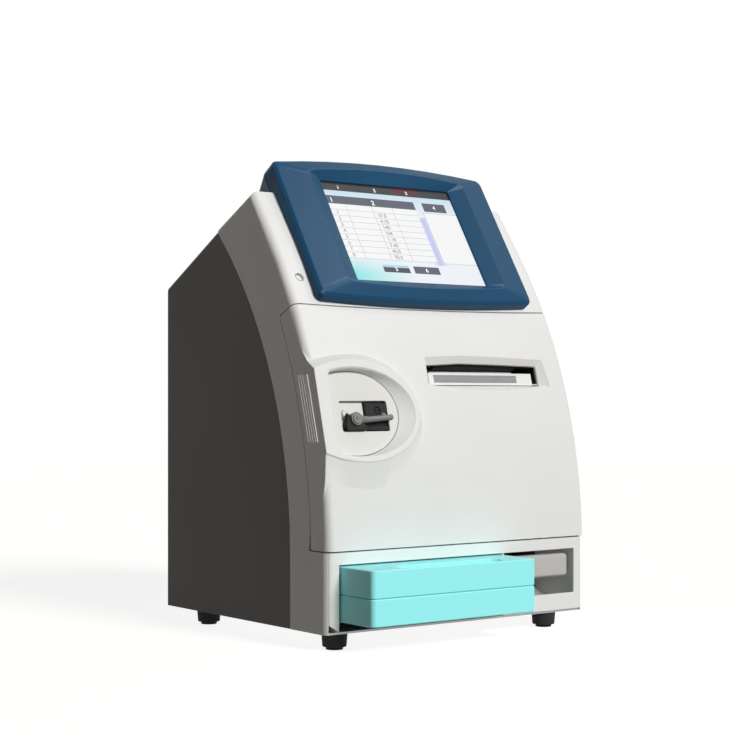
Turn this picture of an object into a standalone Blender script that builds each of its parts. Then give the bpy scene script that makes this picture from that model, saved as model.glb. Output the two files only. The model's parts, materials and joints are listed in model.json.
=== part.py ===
"""Bench blood gas analyzer: curved case, swinging door, sampler port, printer and reagent bay.

The case frame has x across, y back from the lower front face and z up from the table.
Two leaning frames sit in it: the chassis frame behind the door and the display frame.
"""
import math

import bmesh
import bpy
from mathutils import Matrix, Vector

MM = 0.001

# Case
CASE_WIDTH = 330.0 * MM
CASE_DEPTH = 296.0 * MM
CASE_FLOOR = 15.5 * MM
LOWER_FRONT_TOP = 93.2 * MM
FRONT_ARC_RADIUS = 543.0 * MM
FRONT_ARC_LEVEL = 82.0 * MM
FRONT_PROUD = 2.9 * MM
FRONT_ARC_TOP = 396.0 * MM
RIDGE_LEVEL = 444.4 * MM
CHEEK_SLOPE = math.radians(26.4)
COVER_SLOPE = math.radians(27.8)
COVER_STEP = 3.0 * MM
COVER_SIDE_STEP = 0.8 * MM
SPLIT_DEPTH = 61.5 * MM
SPLIT_LEVEL = 88.0 * MM
SPLIT_RADIUS = 452.0 * MM
SPLIT_TOP = 408.0 * MM
EDGE_RADIUS = 8.0 * MM
WALL = 3.0 * MM
GAP = 0.3 * MM
SEAM = 1.0 * MM
OVERRUN = 20.0 * MM
ARC_STEPS = 12
EDGE_STEPS = 4
ROUND = 24
HALF = CASE_WIDTH / 2.0

# Chassis frame, square to the door's chord
CHASSIS_LEAN = math.radians(14.5)
CHASSIS_DEPTH = 10.2 * MM
CHASSIS_LEVEL = 222.0 * MM

# Door
DOOR_BOTTOM = 94.0 * MM
DOOR_TOP_SIDE = 115.0 * MM
DOOR_TOP_MIDDLE = 112.3 * MM
DOOR_WRAP = 29.0 * MM
DOOR_CORNER_LEVEL = 316.6 * MM
DOOR_CORNER_TOP = 328.8 * MM
HINGE_INSET = 2.5 * MM
HINGE_X = HALF - HINGE_INSET
HINGE_REACH = 160.0 * MM
HINGE_DEPTH = 28.5 * MM
HINGE_STRIP = 9.0 * MM
HINGE_RELIEF = 3.3 * MM
KNUCKLE_LENGTH = 14.0 * MM
PIN_RADIUS = 1.2 * MM
PIN_FREE = 0.2 * MM
LUG_WIDTH = 8.0 * MM
LUG_DEPTH = 9.0 * MM
LUG_HEIGHT = 9.0 * MM
LUG_FRONT = 2.4 * MM
PIN_SEAT = 7.5 * MM
GRIP_RIBS = 4
GRIP_PITCH = 3.9 * MM
GRIP_FIRST = 5.0 * MM
GRIP_WIDTH = 1.6 * MM
GRIP_PROUD = 1.2 * MM
GRIP_TOP = 261.0 * MM
GRIP_BOTTOM = 196.0 * MM

# Feet
FOOT_RADIUS = 12.5 * MM
FOOT_NECK_RADIUS = 11.5 * MM
FOOT_TREAD_RADIUS = 8.25 * MM
FOOT_TREAD = 2.8 * MM
FOOT_SIDE = 15.9 * MM
FOOT_SIDE_RIGHT = 37.9 * MM
FOOT_FRONT = 16.0 * MM
FOOT_REAR_SPACE = 50.5 * MM

# Reagent pack, which also sets how far the whole unit reaches to the front
PACK_LEFT = 16.0 * MM
PACK_FREE = 0.6 * MM
PACK_PROUD = 50.0 * MM

# Port ring and its opening, in the chassis frame: x across, y in, z up
PORT_SIDE = 54.0 * MM
PORT_X = PORT_SIDE - HALF
RING_BASE_LEVEL = -3.5 * MM
RING_BASE_RIGHT = 75.0 * MM
RING_BASE_LEFT = 115.0 * MM
RING_BASE_RISE = 66.8 * MM
RING_BASE_DEPTH = 9.2 * MM
RING_CREST_SHIFT = 4.0 * MM
RING_CREST_LEVEL = 4.8 * MM
RING_CREST_RIGHT = 70.0 * MM
RING_CREST_LEFT = 85.0 * MM
RING_CREST_RISE = 50.6 * MM
RING_BACK = 14.0 * MM
RING_ROUND = 1.6 * MM
RING_EDGE = 0.4 * MM
RING_SKIRT = 8.5 * MM
RING_SKIRT_SIDE = 1.8 * MM
DEE_SQUARE_SHARE = 2.4
CAVITY_SHIFT = 9.0 * MM
CAVITY_LEVEL = 3.1 * MM
CAVITY_RIGHT = 67.7 * MM
CAVITY_RISE = 43.4 * MM
CAVITY_LEFT = 28.5 * MM
PLATE_RIGHT = 54.0 * MM
PLATE_RISE = 41.6 * MM
PLATE_LEVEL = 3.6 * MM
PLATE_LEFT = 28.0 * MM
PLATE_DEPTH = 9.0 * MM
PLATE_FREE = 0.6 * MM
PLATE_THICK = 3.0 * MM

# Printer slot in the door, in the chassis frame
SLOT_RING_SPACE = 13.0 * MM
SLOT_LEFT = PORT_X + RING_BASE_RIGHT + SLOT_RING_SPACE
SLOT_SIDE = 26.0 * MM
SLOT_RIGHT = HALF - SLOT_SIDE
SLOT_PEAK_SHARE = 0.3
SLOT_BELLY_SHARE = 0.58
SLOT_PEAK = SLOT_LEFT + (SLOT_RIGHT - SLOT_LEFT) * SLOT_PEAK_SHARE
SLOT_BELLY = SLOT_LEFT + (SLOT_RIGHT - SLOT_LEFT) * SLOT_BELLY_SHARE
SLOT_TOP_LEFT = 64.6 * MM
SLOT_TOP_PEAK = 67.6 * MM
SLOT_TOP_RIGHT = 62.8 * MM
SLOT_LOW_LEFT = 31.8 * MM
SLOT_LOW_BELLY = 25.8 * MM
SLOT_LOW_RIGHT = 30.0 * MM

# Display, in its own frame: x across, y into the screen, z up the screen
DISPLAY_LEAN = math.radians(32.0)
DISPLAY_DEPTH = 90.0 * MM
DISPLAY_LEVEL = 402.0 * MM
DISPLAY_OPENING_SIDE = 43.0 * MM
DISPLAY_OPENING_HALF = HALF - DISPLAY_OPENING_SIDE
DISPLAY_OPENING_LOW = -62.0 * MM
DISPLAY_OPENING_HIGH = 50.0 * MM
DISPLAY_OPENING_DEPTH = 70.0 * MM

# Standby button
BUTTON_SIDE = 18.0 * MM
BUTTON_X = BUTTON_SIDE - HALF
BUTTON_LEVEL = 356.0 * MM
BUTTON_RADIUS = 4.4 * MM
BUTTON_FREE = 0.35 * MM
BUTTON_DISH = 0.8 * MM
DISH_SHARE = 0.6
BUTTON_FLANGE_RADIUS = 6.0 * MM
BUTTON_FLANGE = 1.4 * MM

# Bay surround
TRIM_INSET = 3.4 * MM
TRIM_BOTTOM = 24.5 * MM
TRIM_TOP = 92.9 * MM
BAY_LEFT = 14.2 * MM
BAY_RIGHT_SIDE = 14.0 * MM
BAY_RIGHT = CASE_WIDTH - BAY_RIGHT_SIDE
BAY_TOP = 81.0 * MM

# Display sizes, in its own frame
BEZEL_SIDE = 27.5 * MM
BEZEL_HALF = HALF - BEZEL_SIDE
BEZEL_LOW = -76.3 * MM
BEZEL_LOW_MIDDLE = -81.0 * MM
BEZEL_HIGH = 88.0 * MM
BEZEL_HIGH_MIDDLE = 97.3 * MM
BEZEL_CORNER = 7.0 * MM
BEZEL_FACE = -2.5 * MM
BEZEL_CHAMFER = 3.0 * MM
BEZEL_DEPTH = 17.0 * MM
BEZEL_WALL = 3.0 * MM
BEZEL_BORDER = 35.5 * MM
RIM_HALF = BEZEL_HALF - BEZEL_BORDER
RIM_LOW = -62.0 * MM
RIM_LOW_MIDDLE = -66.0 * MM
RIM_HIGH = 75.0 * MM
RIM_HIGH_MIDDLE = 83.0 * MM
RIM_FACE = -7.0 * MM
RIM_SLOPE = 18.0 * MM
WINDOW_HALF = RIM_HALF - RIM_SLOPE
WINDOW_LOW = -55.0 * MM
WINDOW_HIGH = 68.7 * MM
WINDOW_LIP = 2.0 * MM
WINDOW_CORNER = 1.0 * MM
GLASS_THICK = 1.2 * MM
GLASS_MARGIN = 4.0 * MM
LCD_THICK = 6.5 * MM
LCD_MARGIN = 6.0 * MM
HOUSING_INSET = 3.0 * MM
HOUSING_LOW = 20.0 * MM
HOUSING_DEPTH = 60.0 * MM
HOUSING_TAPER = 6.0 * MM

# Sampler, in the chassis frame
SAMPLER_LEFT_RUN = 26.5 * MM
SAMPLER_LEFT = PORT_X - SAMPLER_LEFT_RUN
SAMPLER_RIGHT_RUN = 37.0 * MM
SAMPLER_RIGHT = PORT_X + SAMPLER_RIGHT_RUN
SAMPLER_LOW = -17.5 * MM
SAMPLER_HIGH = 19.5 * MM
PORT_WINDOW_LEFT_RUN = 24.0 * MM
PORT_WINDOW_LEFT = PORT_X - PORT_WINDOW_LEFT_RUN
PORT_WINDOW_RIGHT_RUN = 32.5 * MM
PORT_WINDOW_RIGHT = PORT_X + PORT_WINDOW_RIGHT_RUN
PORT_WINDOW_ROUND = 2.0 * MM
PORT_WINDOW_LOW = -14.2 * MM
PORT_WINDOW_HIGH = 16.0 * MM
CARRIAGE_RUN = 6.0 * MM
CARRIAGE_RIGHT = PORT_X + CARRIAGE_RUN
CARRIAGE_FACE = 13.0 * MM
CARRIAGE_BACK = 45.0 * MM
ADAPTOR_RUN = 14.6 * MM
ADAPTOR_X = PORT_X - ADAPTOR_RUN
ADAPTOR_LEVEL = 3.7 * MM
ADAPTOR_RADIUS = 5.6 * MM
ADAPTOR_FACE = 11.0 * MM
INLET_NEAR = 5.0 * MM
INLET_STEP = 10.6 * MM
INLET_SHELF = -10.0 * MM
INLET_LOBE_RUN = 18.2 * MM
INLET_LOBE_LEVEL = 1.2 * MM
INLET_LOBE_RADIUS = 2.0 * MM
INLET_OUTLINE = [(-20.6 * MM, -13.6 * MM), (3.0 * MM, -13.6 * MM), (1.6 * MM, -8.8 * MM),
                 (-9.0 * MM, -8.8 * MM), (-16.4 * MM, 1.4 * MM), (-18.4 * MM, 1.4 * MM),
                 (-21.8 * MM, -9.4 * MM)]
PROBE_RADIUS = 1.0 * MM
PROBE_REST = 10.5 * MM
PROBE_LENGTH = 55.0 * MM
SAMPLER_ROUND = 1.0 * MM
LEVER_RUN = 9.8 * MM
LEVER_X = PORT_X - LEVER_RUN
LEVER_LEVEL = -2.6 * MM
LEVER_COLLAR_RADIUS = 6.4 * MM
LEVER_COLLAR_FREE = 0.6 * MM
LEVER_COLLAR_NEAR = 3.0 * MM
LEVER_COLLAR_FAR = 10.4 * MM
LEVER_CAP_RADIUS = 5.0 * MM
LEVER_CAP_NEAR = 1.8 * MM
LEVER_ARM_DEPTH = 4.6 * MM
LEVER_ROOT_RUN = 4.0 * MM
LEVER_ROOT_RADIUS = 4.4 * MM
LEVER_NECK_RUN = 5.0 * MM
LEVER_NECK_LEVEL = -3.5 * MM
LEVER_ARM_RADIUS = 2.9 * MM
LEVER_TIP_RUN = 31.8 * MM
LEVER_TIP_LEVEL = -1.5 * MM
LEVER_TIP_RADIUS = 2.7 * MM
LEVER_BUMP_RUN = 23.2 * MM
LEVER_BUMP_LEVEL = 0.8 * MM
LEVER_BUMP_RADIUS = 2.3 * MM
LEVER_PIN_RADIUS = 1.5 * MM
LEVER_PIN_NEAR = 1.2 * MM
LEVER_PIN_FAR = 24.0 * MM
STEP_LOW = -1.0 * MM
STEP_THICK = 2.4 * MM
STEP_SIDE = 1.0 * MM
SILL_LOW = -13.2 * MM
SILL_HIGH = -9.6 * MM
KNOB_RUN = 20.3 * MM
KNOB_X = PORT_X + KNOB_RUN
KNOB_LEVEL = 6.3 * MM
KNOB_RADIUS = 3.0 * MM
KNOB_RECESS_RADIUS = 3.7 * MM
KNOB_RECESS = 2.0 * MM
KNOB_SUNK = 0.4 * MM
KNOB_STEM_RADIUS = 1.8 * MM
KNOB_STEM = 6.0 * MM
KNOB_SLOT = 0.8 * MM

# Printer, in the chassis frame, carried by the door
SLOT_MOUTH = 7.0 * MM
SLOT_PAD = 2.0 * MM
PLATE_SIDE = 1.0 * MM
PRINTER_PLATE = 13.5 * MM
PRINTER_PLATE_THICK = 2.8 * MM
PRINTER_OPEN_SIDE = 5.7 * MM
PRINTER_OPEN_LEFT = SLOT_LEFT + PRINTER_OPEN_SIDE
PRINTER_OPEN_END = 9.2 * MM
PRINTER_OPEN_RIGHT = SLOT_RIGHT - PRINTER_OPEN_END
PRINTER_OPEN_LOW = 32.6 * MM
PRINTER_OPEN_HIGH = 56.0 * MM
PRINTER_OPEN_BOW = 2.4 * MM
FLAP_END_SPACE = 8.3 * MM
FLAP_RIGHT = PRINTER_OPEN_RIGHT - FLAP_END_SPACE
FLAP_HIGH = 46.0 * MM
FLAP_THICK = 2.2 * MM
FLAP_FREE = 0.7 * MM
FLAP_PIN_RADIUS = 0.7 * MM
FLAP_PIN_LENGTH = 1.8 * MM
VIEW_SIDE = 7.3 * MM
VIEW_LEFT = PRINTER_OPEN_LEFT + VIEW_SIDE
VIEW_END = 21.0 * MM
VIEW_RIGHT = FLAP_RIGHT - VIEW_END
VIEW_LOW = 36.0 * MM
VIEW_HIGH = 43.6 * MM
PRINTER_SIDE = 2.0 * MM
PRINTER_LEFT = SLOT_LEFT + PRINTER_SIDE
PRINTER_END = 5.0 * MM
PRINTER_RIGHT = SLOT_RIGHT - PRINTER_END
PRINTER_LOW = 26.5 * MM
PRINTER_HIGH = 66.0 * MM
PRINTER_BACK = 53.0 * MM
PRINTER_WALL = 2.5 * MM
ROLL_RADIUS = 12.0 * MM
ROLL_DEPTH = 37.0 * MM
ROLL_LEVEL = 43.5 * MM
ROLL_END_SPACE = 22.5 * MM
ROLL_WIDTH = PRINTER_RIGHT - PRINTER_LEFT - 2.0 * ROLL_END_SPACE
ROLL_SPINDLE = 3.7 * MM
PLATEN_RADIUS = 4.0 * MM
PLATEN_DEPTH = 23.5 * MM
PLATEN_LEVEL = 56.0 * MM
PLATEN_JOURNAL = 2.0 * MM
HEAD_DEPTH = 7.0 * MM
HEAD_HEIGHT = 3.0 * MM

# Bay, pack and latch
LATCH_FLOOR = 35.0 * MM
LATCH_WIDTH = 89.0 * MM
LATCH_SIDE = 5.0 * MM
LATCH_FREE = 1.0 * MM
DIVIDER_THICK = 2.4 * MM
LATCH_RIGHT = BAY_RIGHT - LATCH_SIDE
LATCH_LEFT = LATCH_RIGHT - LATCH_WIDTH
DIVIDER_RIGHT = LATCH_LEFT - LATCH_FREE
DIVIDER_LEFT = DIVIDER_RIGHT - DIVIDER_THICK
PACK_RIGHT = DIVIDER_LEFT - PACK_FREE
POST_BOTTOM = 18.0 * MM
TUNNEL_DEPTH = 60.0 * MM
SCOOP_DIP = 8.0 * MM
SCOOP_THICK = 2.5 * MM
SCOOP_FULL_SHARE = 0.7
PACK_BOTTOM = 27.0 * MM
PACK_SEAM = 53.0 * MM
PACK_TOP = 79.5 * MM
PACK_LENGTH = 240.0 * MM
PACK_ROUND = 5.0 * MM
PACK_REVEAL = 1.2 * MM
GRIP_RECESS_SIDE = 42.0 * MM
GRIP_RECESS_LEFT = PACK_LEFT + GRIP_RECESS_SIDE
GRIP_RECESS_END = 34.0 * MM
GRIP_RECESS_RIGHT = PACK_RIGHT - GRIP_RECESS_END
GRIP_RECESS_NEAR = 5.0 * MM
GRIP_RECESS_FAR = 26.0 * MM
GRIP_RECESS_DEPTH = 3.5 * MM
GRIP_RECESS_ROUND = 10.3 * MM
MANIFOLD_SIDE = 44.0 * MM
MANIFOLD_LEFT = PACK_LEFT + MANIFOLD_SIDE
MANIFOLD_END = 48.0 * MM
MANIFOLD_RIGHT = PACK_RIGHT - MANIFOLD_END
MANIFOLD_THICK = 8.0 * MM
PORT_COUNT = 6
PORT_RADIUS = 3.0 * MM
NOZZLE_RADIUS = 2.2 * MM
NOZZLE_LENGTH = 7.0 * MM
CONNECTOR_THICK = 12.0 * MM
TRAY_THICK = 1.5 * MM
TRAY_FRONT = 12.0 * MM
TRAY_REAR_SPACE = 11.0 * MM
TRAY_BACK = CASE_DEPTH - TRAY_REAR_SPACE
DECK_LEVEL = 86.0 * MM
LATCH_LOW = 52.0 * MM
LATCH_HIGH = 76.0 * MM
LATCH_FACE = 3.0 * MM
LATCH_THICK = 12.0 * MM
LATCH_ROUND = 4.0 * MM
LATCH_PIN_RADIUS = 1.5 * MM
LATCH_PIN_INSET = 4.5 * MM

# Chassis behind the door
BULKHEAD_DEPTH = 75.0 * MM
SHEET = 1.5 * MM
BULKHEAD_LOW = -112.0 * MM
BULKHEAD_HIGH = 106.0 * MM
FLANGE = 14.0 * MM
PUMP_X = 40.0 * MM
PUMP_LEVEL = -60.0 * MM
PUMP_RADIUS = 27.0 * MM
PUMP_BED_RADIUS = 22.5 * MM
PUMP_FACE = 45.0 * MM
PUMP_FLOOR = 70.0 * MM
PUMP_PLANE = 57.0 * MM
ROLLER_COUNT = 3
ROLLER_ORBIT = 13.5 * MM
ROLLER_RADIUS = 4.5 * MM
ROTOR_THICK = 2.0 * MM
ROTOR_FACE = 49.0 * MM
PUMP_SHAFT = 3.0 * MM
TUBE_RADIUS = 1.6 * MM
TUBE_ORBIT = 20.5 * MM
TUBE_EXIT = 12.0 * MM
MOTOR_RADIUS = 20.0 * MM
MOTOR_LENGTH = 38.0 * MM
BLOCK_LEFT = -62.0 * MM
BLOCK_RIGHT = 2.0 * MM
BLOCK_LOW = -80.0 * MM
BLOCK_HIGH = -52.0 * MM
BLOCK_FACE = 50.0 * MM
ELECTRODE_COUNT = 4
ELECTRODE_PITCH = 16.0 * MM
ELECTRODE_RADIUS = 6.5 * MM
ELECTRODE_FACE = 34.0 * MM
ELECTRODE_SEAT = 60.0 * MM
ELECTRODE_RIM = 0.9 * MM
ELECTRODE_CAP = 4.0 * MM
CATCH_LEVEL = 0.0 * MM
CATCH_HALF = 12.0 * MM
CATCH_FACE = 35.5 * MM
CATCH_BACK = 55.0 * MM
CATCH_WIDTH = 13.0 * MM
STRIKE_FACE = 26.0 * MM

# Back, in the case frame
PANEL_INSET = 2.5 * MM
PANEL_BACK = CASE_DEPTH - PANEL_INSET
PANEL_THICK = 2.0 * MM
PANEL_CORNER = 3.0 * MM
PAN_HALF = HALF - COVER_SIDE_STEP - WALL - GAP
PAN_FRONT = 3.5 * MM
PAN_THICK = 2.0 * MM
PAN_FLANGE = 12.0 * MM
FAN_SIDE = 90.9 * MM
FAN_X = FAN_SIDE - PAN_HALF
FAN_LEVEL = 250.0 * MM
FAN_SIZE = 80.0 * MM
FAN_THICK = 25.0 * MM
FAN_BORE = 37.5 * MM
FAN_HUB = 15.0 * MM
FAN_BLADES = 7
FAN_TIP = 36.0 * MM
FAN_PIN = 2.0 * MM
BLADE_THICK = 1.6 * MM
BLADE_DEPTH = 14.0 * MM
BLADE_PITCH = math.radians(38.0)
STRUT = 5.0 * MM
GUARD_THICK = 2.0 * MM
GUARD_RING = 1.8 * MM
GUARD_RINGS = 4
GUARD_SIDES = 20
GUARD_OUTER = 37.0 * MM
GUARD_TAB = 5.0 * MM
GUARD_TAB_ORBIT = 47.0 * MM
INLET_SIDE = 50.9 * MM
INLET_X = PAN_HALF - INLET_SIDE
INLET_Z = 120.0 * MM
INLET_HALF_WIDTH = 14.0 * MM
INLET_HALF_HEIGHT = 11.0 * MM
INLET_FLANGE = 6.0 * MM
INLET_DEPTH = 24.0 * MM
INLET_WALL = 2.0 * MM
INLET_PIN = 2.0 * MM
SWITCH_PITCH = 45.0 * MM
SWITCH_X = INLET_X - SWITCH_PITCH
SWITCH_HALF_WIDTH = 7.0 * MM
SWITCH_HALF_HEIGHT = 11.0 * MM
SWITCH_FRAME = 2.5 * MM
SWITCH_DEPTH = 16.0 * MM
ROCKER_RADIUS = 14.0 * MM
ROCKER_DEPTH = 11.5 * MM
ROCKER_BODY = 10.0 * MM
ROCKER_SIDE_FREE = 1.6 * MM
IO_SIDE = 100.9 * MM
IO_X = IO_SIDE - PAN_HALF
IO_Z = 120.0 * MM
IO_HALF_WIDTH = 48.0 * MM
IO_HALF_HEIGHT = 12.0 * MM
IO_DEPTH = 18.0 * MM
SUPPLY_SIDE = 15.9 * MM
SUPPLY_WIDTH = 105.0 * MM
SUPPLY_RIGHT = PAN_HALF - SUPPLY_SIDE
SUPPLY_LEFT = SUPPLY_RIGHT - SUPPLY_WIDTH
SUPPLY_FRONT = 120.0 * MM
SUPPLY_REAR_SPACE = 78.5 * MM
SUPPLY_BACK = PANEL_BACK - SUPPLY_REAR_SPACE
SUPPLY_HEIGHT = 45.0 * MM
SUPPLY_ROUND = 1.0 * MM
BOARD_SIDE = 40.9 * MM
BOARD_X = BOARD_SIDE - PAN_HALF
BOARD_FRONT = 125.0 * MM
BOARD_REAR_SPACE = 31.5 * MM
BOARD_BACK = PANEL_BACK - BOARD_REAR_SPACE
BOARD_HEIGHT = 180.0 * MM
BOARD_THICK = 1.6 * MM
BOARD_FOOT = 12.0 * MM
CHIP_HEIGHT = 4.0 * MM


# Scene and collections
def clear_scene():
    for item in list(bpy.data.objects):
        bpy.data.objects.remove(item, do_unlink=True)


def new_collection(name):
    group = bpy.data.collections.new(name)
    bpy.context.scene.collection.children.link(group)
    return group


clear_scene()
PARTS = new_collection("blood_gas_analyzer")
CUTTERS = new_collection("cutters")
MATERIALS = {}


def material(name, colour, roughness=0.5, metallic=0.0):
    made = bpy.data.materials.new(name)
    made.use_nodes = True
    shader = made.node_tree.nodes["Principled BSDF"]
    shader.inputs["Base Color"].default_value = (*colour, 1.0)
    shader.inputs["Roughness"].default_value = roughness
    shader.inputs["Metallic"].default_value = metallic
    made.diffuse_color = (*colour, 1.0)
    MATERIALS[name] = made


material("white_shell", (0.80, 0.80, 0.79), 0.45)
material("charcoal_shell", (0.045, 0.042, 0.038), 0.55)
material("blue_bezel", (0.020, 0.090, 0.200), 0.35)
material("teal_pack", (0.30, 0.83, 0.83), 0.4)
material("pale_plastic", (0.72, 0.72, 0.69), 0.45)
material("grey_plastic", (0.50, 0.48, 0.47), 0.5)
material("black_plastic", (0.02, 0.02, 0.02), 0.4)
material("rubber", (0.015, 0.015, 0.015), 0.8)
material("sheet_steel", (0.55, 0.56, 0.57), 0.4, 1.0)
material("screen", (0.60, 0.75, 0.85), 0.2)
material("clear_tube", (0.75, 0.78, 0.78), 0.25)
material("board_green", (0.02, 0.16, 0.07), 0.5)
material("paper", (0.85, 0.85, 0.82), 0.8)


# Frames
def add_frame(name, location, lean=0.0, parent=None):
    empty = bpy.data.objects.new(name, None)
    PARTS.objects.link(empty)
    empty.location = location
    empty.rotation_euler = (-lean, 0.0, 0.0)
    empty.parent = parent
    return empty


CASE = add_frame("case_frame", (0.0, -(CASE_DEPTH - PACK_PROUD) / 2.0, 0.0))
CHASSIS = add_frame("chassis_frame", (0.0, CHASSIS_DEPTH, CHASSIS_LEVEL), CHASSIS_LEAN, CASE)
DISPLAY = add_frame("display_frame", (0.0, DISPLAY_DEPTH, DISPLAY_LEVEL), DISPLAY_LEAN, CASE)


def chassis_point(y, z):
    """Case-frame (y, z) of a point given in the chassis frame."""
    return (
        CHASSIS_DEPTH + y * math.cos(CHASSIS_LEAN) + z * math.sin(CHASSIS_LEAN),
        CHASSIS_LEVEL - y * math.sin(CHASSIS_LEAN) + z * math.cos(CHASSIS_LEAN),
    )


# Making objects
def link(name, mesh, colour, frame, cutter):
    made = bpy.data.objects.new(name, mesh)
    (CUTTERS if cutter else PARTS).objects.link(made)
    made.parent = frame
    if cutter:
        made.hide_render = True
        made.display_type = "WIRE"
    else:
        mesh.materials.append(MATERIALS[colour])
    return made


def from_bmesh(name, shape, colour, frame, cutter):
    bmesh.ops.recalc_face_normals(shape, faces=shape.faces)
    mesh = bpy.data.meshes.new(name)
    shape.to_mesh(mesh)
    shape.free()
    return link(name, mesh, colour, frame, cutter)


def box(name, low, high, colour=None, frame=CASE, cutter=False, rounding=0.0, steps=2):
    shape = bmesh.new()
    bmesh.ops.create_cube(shape, size=1.0)
    size = Vector(high) - Vector(low)
    middle = (Vector(high) + Vector(low)) / 2.0
    bmesh.ops.scale(shape, vec=size, verts=shape.verts)
    bmesh.ops.translate(shape, vec=middle, verts=shape.verts)
    if rounding > 0.0:
        bmesh.ops.bevel(shape, geom=shape.edges, offset=rounding, segments=steps, profile=0.5,
                        affect="EDGES")
    return from_bmesh(name, shape, colour, frame, cutter)


def slab(name, outline, axis, low, high, colour=None, frame=CASE, cutter=False, rounding=0.0, steps=2,
         holes=(), only_front=False):
    """Flat outline extruded along x, y or z; outline points are the other two coordinates."""
    shape = bmesh.new()

    def place(point, level):
        if axis == "x":
            return (level, point[0], point[1])
        if axis == "y":
            return (point[0], level, point[1])
        return (point[0], point[1], level)

    rim = [shape.verts.new(place(point, low)) for point in outline]
    edges = [shape.edges.new((rim[i], rim[i - 1])) for i in range(len(rim))]
    for hole in holes:
        loop = [shape.verts.new(place(point, low)) for point in hole]
        edges += [shape.edges.new((loop[i], loop[i - 1])) for i in range(len(loop))]
    if holes:
        faces = bmesh.ops.triangle_fill(shape, edges=edges, use_beauty=True)["geom"]
        faces = [face for face in faces if isinstance(face, bmesh.types.BMFace)]
    else:
        faces = [shape.faces.new(rim)]
    pushed = bmesh.ops.extrude_face_region(shape, geom=faces)
    moved = [item for item in pushed["geom"] if isinstance(item, bmesh.types.BMVert)]
    shift = Vector(place((0.0, 0.0), high - low))
    bmesh.ops.translate(shape, vec=shift, verts=moved)
    if rounding > 0.0:
        limit = low if only_front else None
        index = "xyz".index(axis)
        chosen = []
        for edge in shape.edges:
            level_a = edge.verts[0].co[index]
            level_b = edge.verts[1].co[index]
            if abs(level_a - level_b) > GAP:
                continue
            if edge.calc_face_angle(0.0) < math.radians(45.0):
                continue
            if limit is None or abs(level_a - limit) < GAP / 2.0:
                chosen.append(edge)
        bmesh.ops.bevel(shape, geom=chosen, offset=rounding, segments=steps, profile=0.5, affect="EDGES")
    return from_bmesh(name, shape, colour, frame, cutter)


def rod(name, radius, start, end, colour=None, frame=CASE, cutter=False, sides=ROUND, tip=None):
    """Cylinder, or cone with a tip radius, between two points."""
    shape = bmesh.new()
    start = Vector(start)
    end = Vector(end)
    length = (end - start).length
    bmesh.ops.create_cone(shape, cap_ends=True, segments=sides, radius1=radius,
                          radius2=radius if tip is None else tip, depth=length)
    turn = Vector((0.0, 0.0, 1.0)).rotation_difference(end - start).to_matrix().to_4x4()
    bmesh.ops.transform(shape, matrix=Matrix.Translation((start + end) / 2.0) @ turn, verts=shape.verts)
    return from_bmesh(name, shape, colour, frame, cutter)


def ball(name, radius, centre, colour=None, frame=CASE, cutter=False):
    shape = bmesh.new()
    bmesh.ops.create_uvsphere(shape, u_segments=16, v_segments=10, radius=radius)
    bmesh.ops.translate(shape, vec=Vector(centre), verts=shape.verts)
    return from_bmesh(name, shape, colour, frame, cutter)


def turned(name, profile, centre, colour=None, frame=CASE, cutter=False, sides=ROUND, turn=(0.0, 0.0, 0.0)):
    """Profile of (radius, height) points from top to bottom, turned about its own z axis."""
    mesh = bpy.data.meshes.new(name)
    ring = profile[0] == profile[-1]
    points = [(radius, 0.0, height) for radius, height in (profile[:-1] if ring else profile)]
    edges = [(i, i + 1) for i in range(len(points) - 1)]
    if ring:
        edges.append((len(points) - 1, 0))
    mesh.from_pydata(points, edges, [])
    made = link(name, mesh, colour, frame, cutter)
    made.location = centre
    made.rotation_euler = turn
    screw = made.modifiers.new("Turn", "SCREW")
    screw.steps = sides
    screw.render_steps = sides
    screw.use_merge_vertices = True
    screw.merge_threshold = GAP / 10.0
    return made


def combine(target, other, operation):
    step = target.modifiers.new(operation.title(), "BOOLEAN")
    step.operation = operation
    step.object = other
    step.solver = "EXACT"
    return target


def cut(target, *others):
    for other in others:
        combine(target, other, "DIFFERENCE")
    return target


def join(target, *others):
    for other in others:
        combine(target, other, "UNION")
    return target


def keep(target, *others):
    for other in others:
        combine(target, other, "INTERSECT")
    return target


def set_origin(item, point):
    """Move an object's origin to a point of its frame, with the mesh where it was."""
    item.data.transform(Matrix.Translation(-Vector(point)))
    item.location = point
    return item


def circle(x, y, radius, sides=ROUND, squash=1.0):
    """Points of a circle or ellipse."""
    turns = [2.0 * math.pi * i / sides for i in range(sides)]
    return [(x + radius * math.cos(turn), y + radius * squash * math.sin(turn)) for turn in turns]


def rounded(x0, x1, y0, y1, radius, steps=4):
    """Rectangle outline with round corners."""
    points = []
    corners = ((x1, y1, 0.0), (x0, y1, 0.5), (x0, y0, 1.0), (x1, y0, 1.5))
    for x, y, share in corners:
        cx = x - math.copysign(radius, x - (x0 + x1) / 2.0)
        cy = y - math.copysign(radius, y - (y0 + y1) / 2.0)
        for i in range(steps + 1):
            turn = math.pi * (share + 0.5 * i / steps)
            points.append((cx + radius * math.cos(turn), cy + radius * math.sin(turn)))
    return points


# Case outline
def front_depth(level):
    """Depth of the case's front face at a height."""
    if level <= LOWER_FRONT_TOP:
        return 0.0
    top = min(level, FRONT_ARC_TOP)
    rise = top - FRONT_ARC_LEVEL
    depth = FRONT_ARC_RADIUS - math.sqrt(FRONT_ARC_RADIUS ** 2 - rise ** 2) - FRONT_PROUD
    lean = math.asin(rise / FRONT_ARC_RADIUS)
    return depth + max(level - FRONT_ARC_TOP, 0.0) * math.tan(lean)


def split_depth(level):
    """Depth of the seam between the front frame and the rear cover."""
    rise = max(level - SPLIT_LEVEL, 0.0)
    return SPLIT_DEPTH + SPLIT_RADIUS - math.sqrt(SPLIT_RADIUS ** 2 - rise ** 2)


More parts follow.
